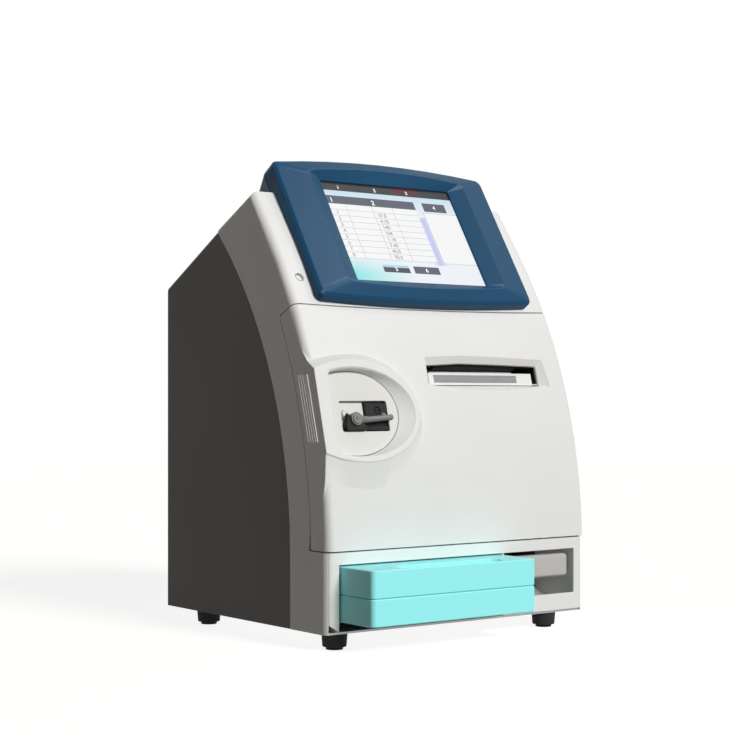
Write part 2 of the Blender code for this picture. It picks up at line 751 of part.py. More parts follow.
def levels(low, high, count=ARC_STEPS):
    return [low + (high - low) * i / count for i in range(count + 1)]


def front_lean(level):
    """Lean of the case's front face from upright at a height."""
    if level <= LOWER_FRONT_TOP:
        return 0.0
    return math.asin((min(level, FRONT_ARC_TOP) - FRONT_ARC_LEVEL) / FRONT_ARC_RADIUS)


RIDGE_DEPTH = front_depth(RIDGE_LEVEL)
CHEEK_BACK = split_depth(SPLIT_TOP)
CHEEK_BACK_LEVEL = RIDGE_LEVEL - (CHEEK_BACK - RIDGE_DEPTH) * math.tan(CHEEK_SLOPE)


def case_profile(inset, floor, back):
    """Side outline (y, z) of the case, its front and top faces set in by inset."""
    points = [(inset, floor), (inset, LOWER_FRONT_TOP)]
    for z in levels(LOWER_FRONT_TOP + GAP / 10.0, FRONT_ARC_TOP):
        points.append((front_depth(z) + inset / math.cos(front_lean(z)), z))
    lean = front_lean(RIDGE_LEVEL)
    cheek = math.tan(CHEEK_SLOPE)
    top = RIDGE_LEVEL + RIDGE_DEPTH * cheek - inset / math.cos(CHEEK_SLOPE)
    base = front_depth(FRONT_ARC_TOP) - FRONT_ARC_TOP * math.tan(lean)
    ridge = (base + top * math.tan(lean) + inset / math.cos(lean)) / (1.0 + math.tan(lean) * cheek)
    points.append((ridge, top - ridge * cheek))
    points.append((CHEEK_BACK, CHEEK_BACK_LEVEL - inset / math.cos(CHEEK_SLOPE)))
    reach = back - CHEEK_BACK
    level = CHEEK_BACK_LEVEL - reach * math.tan(COVER_SLOPE) - inset / math.cos(COVER_SLOPE)
    points.append((back, level))
    points.append((back, floor))
    return points


def case_block(name, inset, side_inset, rounding, floor=CASE_FLOOR, back=CASE_DEPTH, colour=None):
    """Case-shaped block with round side edges at its front and top, lofted from side outlines."""
    width = HALF - side_inset
    turns = [0.5 * math.pi * i / EDGE_STEPS for i in range(EDGE_STEPS + 1)]
    half = [(width - rounding * (1.0 - math.sin(turn)),
             rounding * (1.0 - math.cos(turn))) for turn in turns]
    slices = [(-x, drop) for x, drop in reversed(half)] + half
    shape = bmesh.new()
    rims = []
    for x, drop in slices:
        rims.append([shape.verts.new((x, y, z)) for y, z in case_profile(inset + drop, floor, back)])
    for near, far in zip(rims, rims[1:]):
        for i in range(len(near)):
            shape.faces.new((near[i - 1], near[i], far[i], far[i - 1]))
    shape.faces.new(rims[0])
    shape.faces.new(reversed(rims[-1]))
    return from_bmesh(name, shape, colour, CASE, colour is None)


OUTER_BACK = CASE_DEPTH + OVERRUN
OPEN_FLOOR = CASE_FLOOR - OVERRUN


# Door region: a leaning prism trims the top seam, side outlines trim the rest
def door_region(name, grow, hinge_grow):
    def wrap(level):
        return front_depth(level) + DOOR_WRAP + grow

    low = DOOR_BOTTOM - grow
    ahead = -OVERRUN
    side = [(ahead, low)]
    side += [(wrap(z), z) for z in levels(low, DOOR_CORNER_LEVEL + grow)]
    corner = front_depth(DOOR_CORNER_TOP)
    side.append((corner, DOOR_CORNER_TOP + grow))
    side.append((corner - OVERRUN, DOOR_CORNER_TOP + OVERRUN))
    side.append((ahead, DOOR_CORNER_TOP + OVERRUN))
    strip = HALF - HINGE_STRIP
    region = slab(name, side, "x", -HALF - OVERRUN, strip + GAP, cutter=True)
    foot = chassis_point(HINGE_DEPTH + hinge_grow, -HINGE_REACH)
    head = chassis_point(HINGE_DEPTH + hinge_grow, HINGE_REACH)
    floor = low - hinge_grow / 2.0
    share = (floor - foot[1]) / (head[1] - foot[1])
    edge = [(ahead, floor), (foot[0] + (head[0] - foot[0]) * share, floor), head, (ahead, head[1])]
    join(region, slab(name + "_hinge_side", edge, "x", strip, HALF + OVERRUN, cutter=True))
    bow = DOOR_TOP_SIDE - DOOR_TOP_MIDDLE
    span = HALF + OVERRUN
    points = []
    for i in range(ARC_STEPS + 1):
        x = span * (2.0 * i / ARC_STEPS - 1.0)
        points.append((x, DOOR_TOP_SIDE - bow * (1.0 - (x / HALF) ** 2) + grow))
    points += [(span, -DOOR_TOP_SIDE - 2.0 * OVERRUN), (-span, -DOOR_TOP_SIDE - 2.0 * OVERRUN)]
    prism = slab(name + "_top", points, "y", -3.0 * OVERRUN, 5.0 * OVERRUN, frame=CHASSIS, cutter=True)
    return keep(region, prism)


def loft(name, rings, axis, colour=None, frame=CASE, cutter=False, closed=False):
    """Skin over outlines of equal point count, each (level, points); closed joins last to first."""
    shape = bmesh.new()
    rims = []
    for level, points in rings:
        rim = []
        for a, b in points:
            place = {"x": (level, a, b), "y": (a, level, b), "z": (a, b, level)}[axis]
            rim.append(shape.verts.new(place))
        rims.append(rim)
    pairs = list(zip(rims, rims[1:]))
    if closed:
        pairs.append((rims[-1], rims[0]))
    for near, far in pairs:
        for i in range(len(near)):
            shape.faces.new((near[i - 1], near[i], far[i], far[i - 1]))
    if not closed:
        shape.faces.new(rims[0])
        shape.faces.new(reversed(rims[-1]))
    return from_bmesh(name, shape, colour, frame, cutter)


def egg(x, z, right, left, rise, sides=32):
    """Ellipse outline whose left and right halves have their own reach."""
    points = []
    for i in range(sides):
        turn = 2.0 * math.pi * i / sides
        reach = right if math.cos(turn) >= 0.0 else left
        points.append((x + reach * math.cos(turn), z + rise * math.sin(turn)))
    return points


def dee(x, z, right, left, rise, sides=32):
    """Ellipse outline cut straight at its left side."""
    return [(max(px, x - left), pz) for px, pz in egg(x, z, right, left * DEE_SQUARE_SHARE, rise, sides)]


# Door
def build_door():
    door = case_block("front_door", 0.0, 0.0, EDGE_RADIUS, colour="white_shell")
    keep(door, door_region("door_region", 0.0, 0.0))
    cut(door, case_block("door_inner", WALL, WALL, EDGE_RADIUS - WALL, OPEN_FLOOR, OUTER_BACK))
    low = (DOOR_BOTTOM - CHASSIS_LEVEL + HINGE_DEPTH * math.sin(CHASSIS_LEAN)) / math.cos(CHASSIS_LEAN)
    low += SEAM
    join(door, rod("door_barrel", HINGE_INSET, (HINGE_X, HINGE_DEPTH, low),
                   (HINGE_X, HINGE_DEPTH, DOOR_TOP_SIDE - SEAM), frame=CHASSIS, cutter=True, sides=16))
    crest_x = PORT_X - RING_CREST_SHIFT
    base = egg(PORT_X, RING_BASE_LEVEL, RING_BASE_RIGHT, RING_BASE_LEFT, RING_BASE_RISE)
    crest = egg(crest_x, RING_CREST_LEVEL, RING_CREST_RIGHT, RING_CREST_LEFT, RING_CREST_RISE)
    brow = egg(crest_x, RING_CREST_LEVEL, RING_CREST_RIGHT + RING_ROUND, RING_CREST_LEFT,
               RING_CREST_RISE + RING_ROUND)
    skirt = egg(PORT_X, RING_BASE_LEVEL, RING_BASE_RIGHT + RING_SKIRT_SIDE,
                RING_BASE_LEFT + 2.0 * RING_SKIRT,
                RING_BASE_RISE + RING_SKIRT)
    ring = loft("port_ring", [(RING_BACK, skirt), (RING_BASE_DEPTH, base), (RING_ROUND, brow),
                              (0.0, crest)],
                "y", frame=CHASSIS, cutter=True)
    side = -HALF + RING_EDGE
    cut(ring, box("port_ring_side", (side - RING_BASE_LEFT, -OVERRUN, -HINGE_REACH),
                  (side, 2.0 * OVERRUN, HINGE_REACH), frame=CHASSIS, cutter=True))
    join(door, ring)
    cavity_x = PORT_X - CAVITY_SHIFT
    mouth = dee(cavity_x, CAVITY_LEVEL, CAVITY_RIGHT, CAVITY_LEFT, CAVITY_RISE)
    lip = dee(cavity_x, CAVITY_LEVEL, CAVITY_RIGHT + RING_ROUND, CAVITY_LEFT + RING_ROUND,
              CAVITY_RISE + RING_ROUND)
    floor = dee(cavity_x, PLATE_LEVEL, PLATE_RIGHT + PLATE_FREE, PLATE_LEFT + PLATE_FREE,
                PLATE_RISE + PLATE_FREE)
    cavity = loft("port_cavity", [(-OVERRUN, lip), (0.0, lip), (RING_ROUND, mouth), (PLATE_DEPTH, floor),
                                  (2.0 * RING_BACK, floor)], "y", frame=CHASSIS, cutter=True)
    cut(door, cavity)
    pad = slab("slot_pad", slot_outline(-SLOT_PAD), "y", 0.0, PRINTER_PLATE, frame=CHASSIS, cutter=True)
    keep(pad, case_block("pad_skin", WALL / 2.0, WALL / 2.0, EDGE_RADIUS))
    join(door, pad)
    cut(door, loft("printer_funnel", [(-OVERRUN, slot_outline(0.0)), (SLOT_MOUTH, slot_outline(0.0)),
                                      (PRINTER_PLATE, funnel_floor()), (2.0 * OVERRUN, funnel_floor())],
                   "y", frame=CHASSIS, cutter=True))
    for end, way in ((low - SEAM, 1.0), (DOOR_TOP_SIDE, -1.0)):
        start = end - way * OVERRUN
        hole = rod("pin_hole", PIN_RADIUS + PIN_FREE, (HINGE_X, HINGE_DEPTH, start),
                   (HINGE_X, HINGE_DEPTH, end + way * KNUCKLE_LENGTH), frame=CHASSIS, cutter=True, sides=16)
        cut(door, hole)
    build_grip(door)
    return door


def build_grip(door):
    width = GRIP_PITCH - GRIP_WIDTH
    for i in range(GRIP_RIBS + 1):
        ahead = GRIP_FIRST + GRIP_PITCH * i
        outline = [(front_depth(z) + ahead, z) for z in (GRIP_BOTTOM, GRIP_TOP)]
        outline += [(y + width, z) for y, z in reversed(outline)]
        cut(door, slab("grip_groove", outline, "x", -HALF - OVERRUN, -HALF + GRIP_PROUD, cutter=True))


def slot_outline(inset):
    """Printer slot outline (x, z), both long edges bowed up and down from their ends."""
    top = [(SLOT_RIGHT, SLOT_TOP_RIGHT), (SLOT_BELLY,
                                          SLOT_TOP_PEAK - (SLOT_TOP_PEAK - SLOT_TOP_RIGHT) / 4.0),
           (SLOT_PEAK, SLOT_TOP_PEAK), (SLOT_LEFT, SLOT_TOP_LEFT)]
    low = [(SLOT_LEFT, SLOT_LOW_LEFT), (SLOT_PEAK, SLOT_LOW_BELLY + (SLOT_LOW_LEFT - SLOT_LOW_BELLY) / 4.0),
           (SLOT_BELLY, SLOT_LOW_BELLY), (SLOT_RIGHT, SLOT_LOW_RIGHT)]
    middle = (SLOT_LEFT + SLOT_RIGHT) / 2.0
    points = [(x - math.copysign(inset, x - middle), z - inset) for x, z in top]
    points += [(x - math.copysign(inset, x - middle), z + inset) for x, z in low]
    return points


def funnel_floor():
    """Outline at the foot of the slot's sloping sides, with as many points as the slot's."""
    high = PRINTER_OPEN_HIGH - PRINTER_OPEN_BOW
    return [(PRINTER_OPEN_RIGHT, high), (SLOT_BELLY, PRINTER_OPEN_HIGH - PRINTER_OPEN_BOW / 4.0),
            (SLOT_PEAK, PRINTER_OPEN_HIGH), (PRINTER_OPEN_LEFT, high),
            (PRINTER_OPEN_LEFT, PRINTER_OPEN_LOW),
            (SLOT_PEAK, PRINTER_OPEN_LOW), (SLOT_BELLY, PRINTER_OPEN_LOW),
            (PRINTER_OPEN_RIGHT, PRINTER_OPEN_LOW)]


def split_block(name, ahead, behind):
    """Everything behind the seam between frame and cover, the seam moved by ahead."""
    low = CASE_FLOOR - OVERRUN
    top = RIDGE_LEVEL + OVERRUN
    points = [(split_depth(z) + ahead, z) for z in [low] + levels(SPLIT_LEVEL, SPLIT_TOP)]
    last = points[-1]
    points.append((last[0] + (top - last[1]) * math.tan(COVER_SLOPE), top))
    points += [(behind, top), (behind, low)]
    return slab(name, points, "x", -HALF - OVERRUN, HALF + OVERRUN, cutter=True)


def build_frame():
    shell = case_block("front_frame", 0.0, 0.0, EDGE_RADIUS, colour="white_shell")
    cut(shell, case_block("frame_inner", WALL, WALL, EDGE_RADIUS - WALL, OPEN_FLOOR, OUTER_BACK))
    cut(shell, split_block("frame_split", 0.0, CASE_DEPTH + OVERRUN))
    cut(shell, door_region("frame_door_region", SEAM, HINGE_RELIEF))
    cut(shell, box("frame_low_opening", (-HALF + TRIM_INSET - GAP, -OVERRUN, CASE_FLOOR - OVERRUN),
                   (HALF - TRIM_INSET + GAP, OVERRUN, LOWER_FRONT_TOP + GAP), cutter=True))
    cut(shell, box("frame_display_opening",
                   (-DISPLAY_OPENING_HALF, -OVERRUN, DISPLAY_OPENING_LOW),
                   (DISPLAY_OPENING_HALF, DISPLAY_OPENING_DEPTH, DISPLAY_OPENING_HIGH),
                   frame=DISPLAY, cutter=True))
    base = DOOR_TOP_SIDE + SEAM
    lug = box("upper_lug", (HALF - LUG_WIDTH, HINGE_DEPTH - LUG_DEPTH / 2.0, base),
              (HALF - WALL / 2.0, HINGE_DEPTH + LUG_DEPTH / 2.0, base + LUG_HEIGHT), frame=CHASSIS,
              cutter=True)
    join(shell, lug)
    top = LOWER_FRONT_TOP - GAP
    join(shell, box("lower_lug", (HALF - LUG_WIDTH, LOW_PIN_DEPTH - LUG_FRONT, top - LUG_HEIGHT),
                    (HALF - WALL / 2.0, LOW_PIN_DEPTH + LUG_DEPTH, top), cutter=True))
    reach = HINGE_REACH
    bore = rod("lug_bore", PIN_RADIUS + PIN_FREE, (HINGE_X, HINGE_DEPTH, base - SEAM),
               (HINGE_X, HINGE_DEPTH, base + PIN_SEAT), frame=CHASSIS, cutter=True, sides=16)
    cut(shell, bore)
    cut(shell, rod("low_lug_bore", PIN_RADIUS + PIN_FREE, (HINGE_X, HINGE_DEPTH, -reach),
                   (HINGE_X, HINGE_DEPTH, 0.0), frame=CHASSIS, cutter=True, sides=16))
    cut(shell, button_hole("standby_hole", BUTTON_RADIUS + BUTTON_FREE))
    return shell


LOW_PIN_DEPTH = chassis_point(HINGE_DEPTH, (LOWER_FRONT_TOP - CHASSIS_LEVEL) / math.cos(CHASSIS_LEAN)
                              + HINGE_DEPTH * math.tan(CHASSIS_LEAN))[0]


def build_cover():
    cover = case_block("rear_cover", COVER_STEP, COVER_SIDE_STEP, EDGE_RADIUS / 2.0,
                       colour="charcoal_shell")
    cut(cover, case_block("cover_inner", COVER_STEP + WALL, COVER_SIDE_STEP + WALL, WALL / 2.0,
                          OPEN_FLOOR, OUTER_BACK))
    return keep(cover, split_block("cover_split", GAP, CASE_DEPTH + OVERRUN))


def button_hole(name, radius):
    return rod(name, radius, (0.0, -OVERRUN, 0.0), (0.0, OVERRUN, 0.0), frame=BUTTON, cutter=True)


BUTTON = add_frame("button_frame", (BUTTON_X, front_depth(BUTTON_LEVEL), BUTTON_LEVEL),
                   front_lean(BUTTON_LEVEL), CASE)


def bowed(half, low, low_middle, high, high_middle, corner, side_steps=8, corner_steps=3):
    """Outline (x, z) of a panel with bowed long edges and round corners, anticlockwise."""
    points = []
    run = half - corner
    for i in range(side_steps + 1):
        x = run * (1.0 - 2.0 * i / side_steps)
        points.append((x, high + (high_middle - high) * (1.0 - (x / half) ** 2)))
    edge_high = points[0][1]
    for i in range(1, corner_steps + 1):
        turn = 0.5 * math.pi * (1.0 + i / corner_steps)
        points.append((-run + corner * math.cos(turn), edge_high - corner + corner * math.sin(turn)))
    bottom = []
    for i in range(side_steps + 1):
        x = run * (2.0 * i / side_steps - 1.0)
        bottom.append((x, low + (low_middle - low) * (1.0 - (x / half) ** 2)))
    edge_low = bottom[0][1]
    for i in range(corner_steps):
        turn = math.pi * (1.0 + 0.5 * i / corner_steps)
        points.append((-run + corner * math.cos(turn), edge_low + corner + corner * math.sin(turn)))
    points += bottom
    for i in range(1, corner_steps + 1):
        turn = 0.5 * math.pi * (3.0 + i / corner_steps)
        points.append((run + corner * math.cos(turn), edge_low + corner + corner * math.sin(turn)))
    for i in range(corner_steps):
        turn = 0.5 * math.pi * i / corner_steps
        points.append((run + corner * math.cos(turn), edge_high - corner + corner * math.sin(turn)))
    return points


def window_outline(grow):
    return bowed(WINDOW_HALF + grow, WINDOW_LOW - grow, WINDOW_LOW - grow, WINDOW_HIGH + grow,
                 WINDOW_HIGH + grow, WINDOW_CORNER)


def bezel_outline(inset):
    return bowed(BEZEL_HALF - inset, BEZEL_LOW + inset, BEZEL_LOW_MIDDLE + inset, BEZEL_HIGH - inset,
                 BEZEL_HIGH_MIDDLE - inset, BEZEL_CORNER)


# Display
def build_display():
    rim = bowed(RIM_HALF, RIM_LOW, RIM_LOW_MIDDLE, RIM_HIGH, RIM_HIGH_MIDDLE, BEZEL_CORNER)
    rings = [
        (BEZEL_DEPTH, bezel_outline(0.0)),
        (BEZEL_FACE + BEZEL_CHAMFER, bezel_outline(0.0)),
        (BEZEL_FACE, bezel_outline(BEZEL_CHAMFER)),
        (RIM_FACE, rim),
        (0.0, window_outline(0.0)),
        (WINDOW_LIP, window_outline(0.0)),
        (WINDOW_LIP, bezel_outline(BEZEL_WALL)),
        (BEZEL_DEPTH, bezel_outline(BEZEL_WALL)),
    ]
    bezel = loft("display_bezel", rings, "y", "blue_bezel", DISPLAY, closed=True)
    case = case_block("display_seat", -GAP, -GAP, EDGE_RADIUS)
    cut(bezel, case)
    back = BEZEL_DEPTH + GAP
    slim = HOUSING_INSET + HOUSING_TAPER

    def housing_outline(inset):
        return bowed(BEZEL_HALF - inset, HOUSING_LOW, HOUSING_LOW, BEZEL_HIGH - inset,
                     BEZEL_HIGH_MIDDLE - inset, BEZEL_CORNER)

    housing = loft("display_rear_housing", [(back, housing_outline(0.0)),
                                            (HOUSING_DEPTH, housing_outline(slim))],
                   "y", "blue_bezel", DISPLAY)
    hollow = loft("housing_hollow", [(back - WALL, housing_outline(WALL)),
                                     (HOUSING_DEPTH - WALL, housing_outline(slim + WALL))],
                  "y", frame=DISPLAY, cutter=True)
    cut(housing, case, hollow)
    face = WINDOW_LIP + GAP
    slab("display_glass", window_outline(GLASS_MARGIN), "y", face, face + GLASS_THICK, "screen", DISPLAY)
    face += GLASS_THICK + GAP
    slab("lcd_module", window_outline(LCD_MARGIN), "y", face, face + LCD_THICK, "sheet_steel", DISPLAY)


def build_button():
    seat = WALL + GAP - BUTTON_DISH
    profile = [(0.0, 0.0), (BUTTON_RADIUS * DISH_SHARE, -BUTTON_DISH / 2.0), (BUTTON_RADIUS, -BUTTON_DISH),
               (BUTTON_RADIUS, seat), (BUTTON_FLANGE_RADIUS, seat),
               (BUTTON_FLANGE_RADIUS, seat + BUTTON_FLANGE), (0.0, seat + BUTTON_FLANGE)]
    points = [(radius, -depth) for radius, depth in profile]
    turned("standby_button", points, (0.0, BUTTON_DISH, 0.0), "white_shell", BUTTON,
           turn=(math.radians(90.0), 0.0, 0.0))


# Sampler
def build_sampler():
    outline = dee(PORT_X - CAVITY_SHIFT, PLATE_LEVEL, PLATE_RIGHT, PLATE_LEFT, PLATE_RISE)
    back = PLATE_DEPTH + PLATE_THICK
    plate = slab("sampler_faceplate", outline, "y", PLATE_DEPTH, back, "pale_plastic", CHASSIS)
    window = rounded(PORT_WINDOW_LEFT, PORT_WINDOW_RIGHT, PORT_WINDOW_LOW, PORT_WINDOW_HIGH,
                     PORT_WINDOW_ROUND)
    cut(plate, slab("port_window", window, "y", 0.0, OVERRUN, frame=CHASSIS, cutter=True))
    body = box("sampler_body", (SAMPLER_LEFT, back + GAP, SAMPLER_LOW),
               (SAMPLER_RIGHT, BULKHEAD_DEPTH - GAP, SAMPLER_HIGH), "black_plastic", CHASSIS,
               rounding=SAMPLER_ROUND, steps=1)
    cut(body, box("carriage_bay", (PORT_WINDOW_LEFT, 0.0, PORT_WINDOW_LOW), (CARRIAGE_RIGHT + GAP,
        CARRIAGE_BACK + GAP, PORT_WINDOW_HIGH), frame=CHASSIS, cutter=True))
    for low, high in ((STEP_LOW, PORT_WINDOW_HIGH - GAP - STEP_THICK), (SILL_LOW, SILL_HIGH)):
        join(body, box("body_face", (CARRIAGE_RIGHT + GAP, PLATE_DEPTH, low),
                       (PORT_WINDOW_RIGHT - STEP_SIDE, back + STEP_THICK, high), frame=CHASSIS,
                       cutter=True))
    carriage = box("sampler_carriage", (PORT_WINDOW_LEFT + GAP, CARRIAGE_FACE, PORT_WINDOW_LOW + GAP),
                   (CARRIAGE_RIGHT, CARRIAGE_BACK, PORT_WINDOW_HIGH - GAP), "pale_plastic", CHASSIS)
    cut(carriage, rod("pivot_bore", LEVER_PIN_RADIUS + GAP, (LEVER_X, 0.0, LEVER_LEVEL),
                      (LEVER_X, LEVER_PIN_FAR + GAP, LEVER_LEVEL), frame=CHASSIS, cutter=True, sides=16))
    cut(carriage, rod("adaptor_bore", ADAPTOR_RADIUS - WALL, (ADAPTOR_X, 0.0, ADAPTOR_LEVEL),
                      (ADAPTOR_X, CARRIAGE_BACK + OVERRUN, ADAPTOR_LEVEL), frame=CHASSIS, cutter=True,
                      sides=16))
    adaptor = [(PROBE_RADIUS + GAP, 0.0), (ADAPTOR_RADIUS, 0.0),
               (ADAPTOR_RADIUS, ADAPTOR_FACE - CARRIAGE_FACE + GAP),
               (ADAPTOR_RADIUS - WALL - GAP, ADAPTOR_FACE - CARRIAGE_FACE + GAP),
               (ADAPTOR_RADIUS - WALL - GAP, ADAPTOR_FACE - CARRIAGE_BACK),
               (PROBE_RADIUS + GAP, ADAPTOR_FACE - CARRIAGE_BACK), (PROBE_RADIUS + GAP, 0.0)]
    turned("inlet_adaptor", adaptor, (ADAPTOR_X, ADAPTOR_FACE, ADAPTOR_LEVEL), "pale_plastic", CHASSIS,
           turn=(math.radians(90.0), 0.0, 0.0), sides=20)
    rod("sample_probe", PROBE_RADIUS, (ADAPTOR_X, PROBE_REST, ADAPTOR_LEVEL),
        (ADAPTOR_X, PROBE_REST + PROBE_LENGTH, ADAPTOR_LEVEL), "sheet_steel", CHASSIS, sides=12)
    cut(body, rod("probe_bore", PROBE_RADIUS + GAP, (ADAPTOR_X, CARRIAGE_BACK - GAP, ADAPTOR_LEVEL),
                  (ADAPTOR_X, BULKHEAD_DEPTH + OVERRUN, ADAPTOR_LEVEL), frame=CHASSIS, cutter=True,
                  sides=12))
    build_sample_inlet()
    build_lever()
    build_knob(body)


def build_sample_inlet():
    outline = [(PORT_X + run, level) for run, level in INLET_OUTLINE]
    inlet = slab("sample_inlet", outline, "y", INLET_NEAR, INLET_STEP, "black_plastic", CHASSIS)
    left, right = PORT_X + INLET_OUTLINE[0][0], PORT_X + INLET_OUTLINE[1][0]
    join(inlet, box("inlet_shelf", (left, INLET_NEAR, INLET_OUTLINE[0][1]),
                    (right, CARRIAGE_FACE - GAP, INLET_SHELF), frame=CHASSIS, cutter=True))
    join(inlet, ball("inlet_lobe", INLET_LOBE_RADIUS,
                     (PORT_X - INLET_LOBE_RUN, INLET_NEAR + INLET_LOBE_RADIUS, INLET_LOBE_LEVEL),
                     frame=CHASSIS, cutter=True))
    cut(inlet, rod("collar_room", LEVER_COLLAR_RADIUS + LEVER_COLLAR_FREE, (LEVER_X, 0.0, LEVER_LEVEL),
                   (LEVER_X, CARRIAGE_FACE, LEVER_LEVEL), frame=CHASSIS, cutter=True))


def build_lever():
    lever = rod("sampler_lever", LEVER_COLLAR_RADIUS, (LEVER_X, LEVER_COLLAR_NEAR, LEVER_LEVEL),
                (LEVER_X, LEVER_COLLAR_FAR, LEVER_LEVEL), "grey_plastic", CHASSIS)
    join(lever, rod("lever_cap", LEVER_CAP_RADIUS, (LEVER_X, LEVER_CAP_NEAR, LEVER_LEVEL),
                    (LEVER_X, LEVER_COLLAR_FAR - GAP, LEVER_LEVEL), frame=CHASSIS, cutter=True))
    neck = (PORT_X + LEVER_NECK_RUN, LEVER_ARM_DEPTH, LEVER_NECK_LEVEL)
    tip = (PORT_X + LEVER_TIP_RUN, LEVER_ARM_DEPTH, LEVER_TIP_LEVEL)
    join(lever, rod("lever_root", LEVER_ROOT_RADIUS,
                    (LEVER_X + LEVER_ROOT_RUN, LEVER_COLLAR_NEAR + LEVER_ROOT_RADIUS, LEVER_LEVEL), neck,
                    frame=CHASSIS, cutter=True, sides=16, tip=LEVER_ARM_RADIUS))
    join(lever, ball("lever_neck", LEVER_ARM_RADIUS, neck, frame=CHASSIS, cutter=True))
    join(lever, rod("lever_arm", LEVER_ARM_RADIUS, neck, tip, frame=CHASSIS, cutter=True, sides=16,
                    tip=LEVER_TIP_RADIUS))
    join(lever, ball("lever_tip", LEVER_TIP_RADIUS + GAP, tip, frame=CHASSIS, cutter=True))
    join(lever, ball("lever_bump", LEVER_BUMP_RADIUS,
                     (PORT_X + LEVER_BUMP_RUN, LEVER_ARM_DEPTH, LEVER_BUMP_LEVEL), frame=CHASSIS,
                     cutter=True))
    cut(lever, rod("lever_bore", LEVER_PIN_RADIUS + PIN_FREE, (LEVER_X, 0.0, LEVER_LEVEL),
                   (LEVER_X, LEVER_PIN_FAR, LEVER_LEVEL), frame=CHASSIS, cutter=True, sides=16))
    set_origin(lever, (LEVER_X, LEVER_COLLAR_NEAR, LEVER_LEVEL))
    rod("lever_pivot", LEVER_PIN_RADIUS, (LEVER_X, LEVER_PIN_NEAR, LEVER_LEVEL),
        (LEVER_X, LEVER_PIN_FAR, LEVER_LEVEL), "sheet_steel", CHASSIS, sides=16)


def build_knob(body):
    seat = PLATE_DEPTH + KNOB_RECESS
    near = PLATE_DEPTH + KNOB_SUNK
    cut(body, rod("knob_recess", KNOB_RECESS_RADIUS, (KNOB_X, 0.0, KNOB_LEVEL), (KNOB_X, seat, KNOB_LEVEL),
                  frame=CHASSIS, cutter=True))
    knob = rod("clamp_knob", KNOB_RADIUS, (KNOB_X, near, KNOB_LEVEL), (KNOB_X, seat - GAP, KNOB_LEVEL),
               "black_plastic", CHASSIS, sides=20)
    cut(knob, box("knob_slot", (KNOB_X - KNOB_RADIUS * 2.0, 0.0, KNOB_LEVEL - KNOB_SLOT / 2.0),
                  (KNOB_X + KNOB_RADIUS * 2.0, near + KNOB_SLOT, KNOB_LEVEL + KNOB_SLOT / 2.0),
                  frame=CHASSIS, cutter=True))
    join(knob, rod("knob_stem", KNOB_STEM_RADIUS, (KNOB_X, seat - GAP * 2.0, KNOB_LEVEL),
                   (KNOB_X, seat + KNOB_STEM, KNOB_LEVEL), frame=CHASSIS, cutter=True, sides=16))
    cut(body, rod("knob_bore", KNOB_STEM_RADIUS + PIN_FREE, (KNOB_X, 0.0, KNOB_LEVEL),
                  (KNOB_X, seat + KNOB_STEM + GAP, KNOB_LEVEL), frame=CHASSIS, cutter=True, sides=16))
    set_origin(knob, (KNOB_X, seat, KNOB_LEVEL))


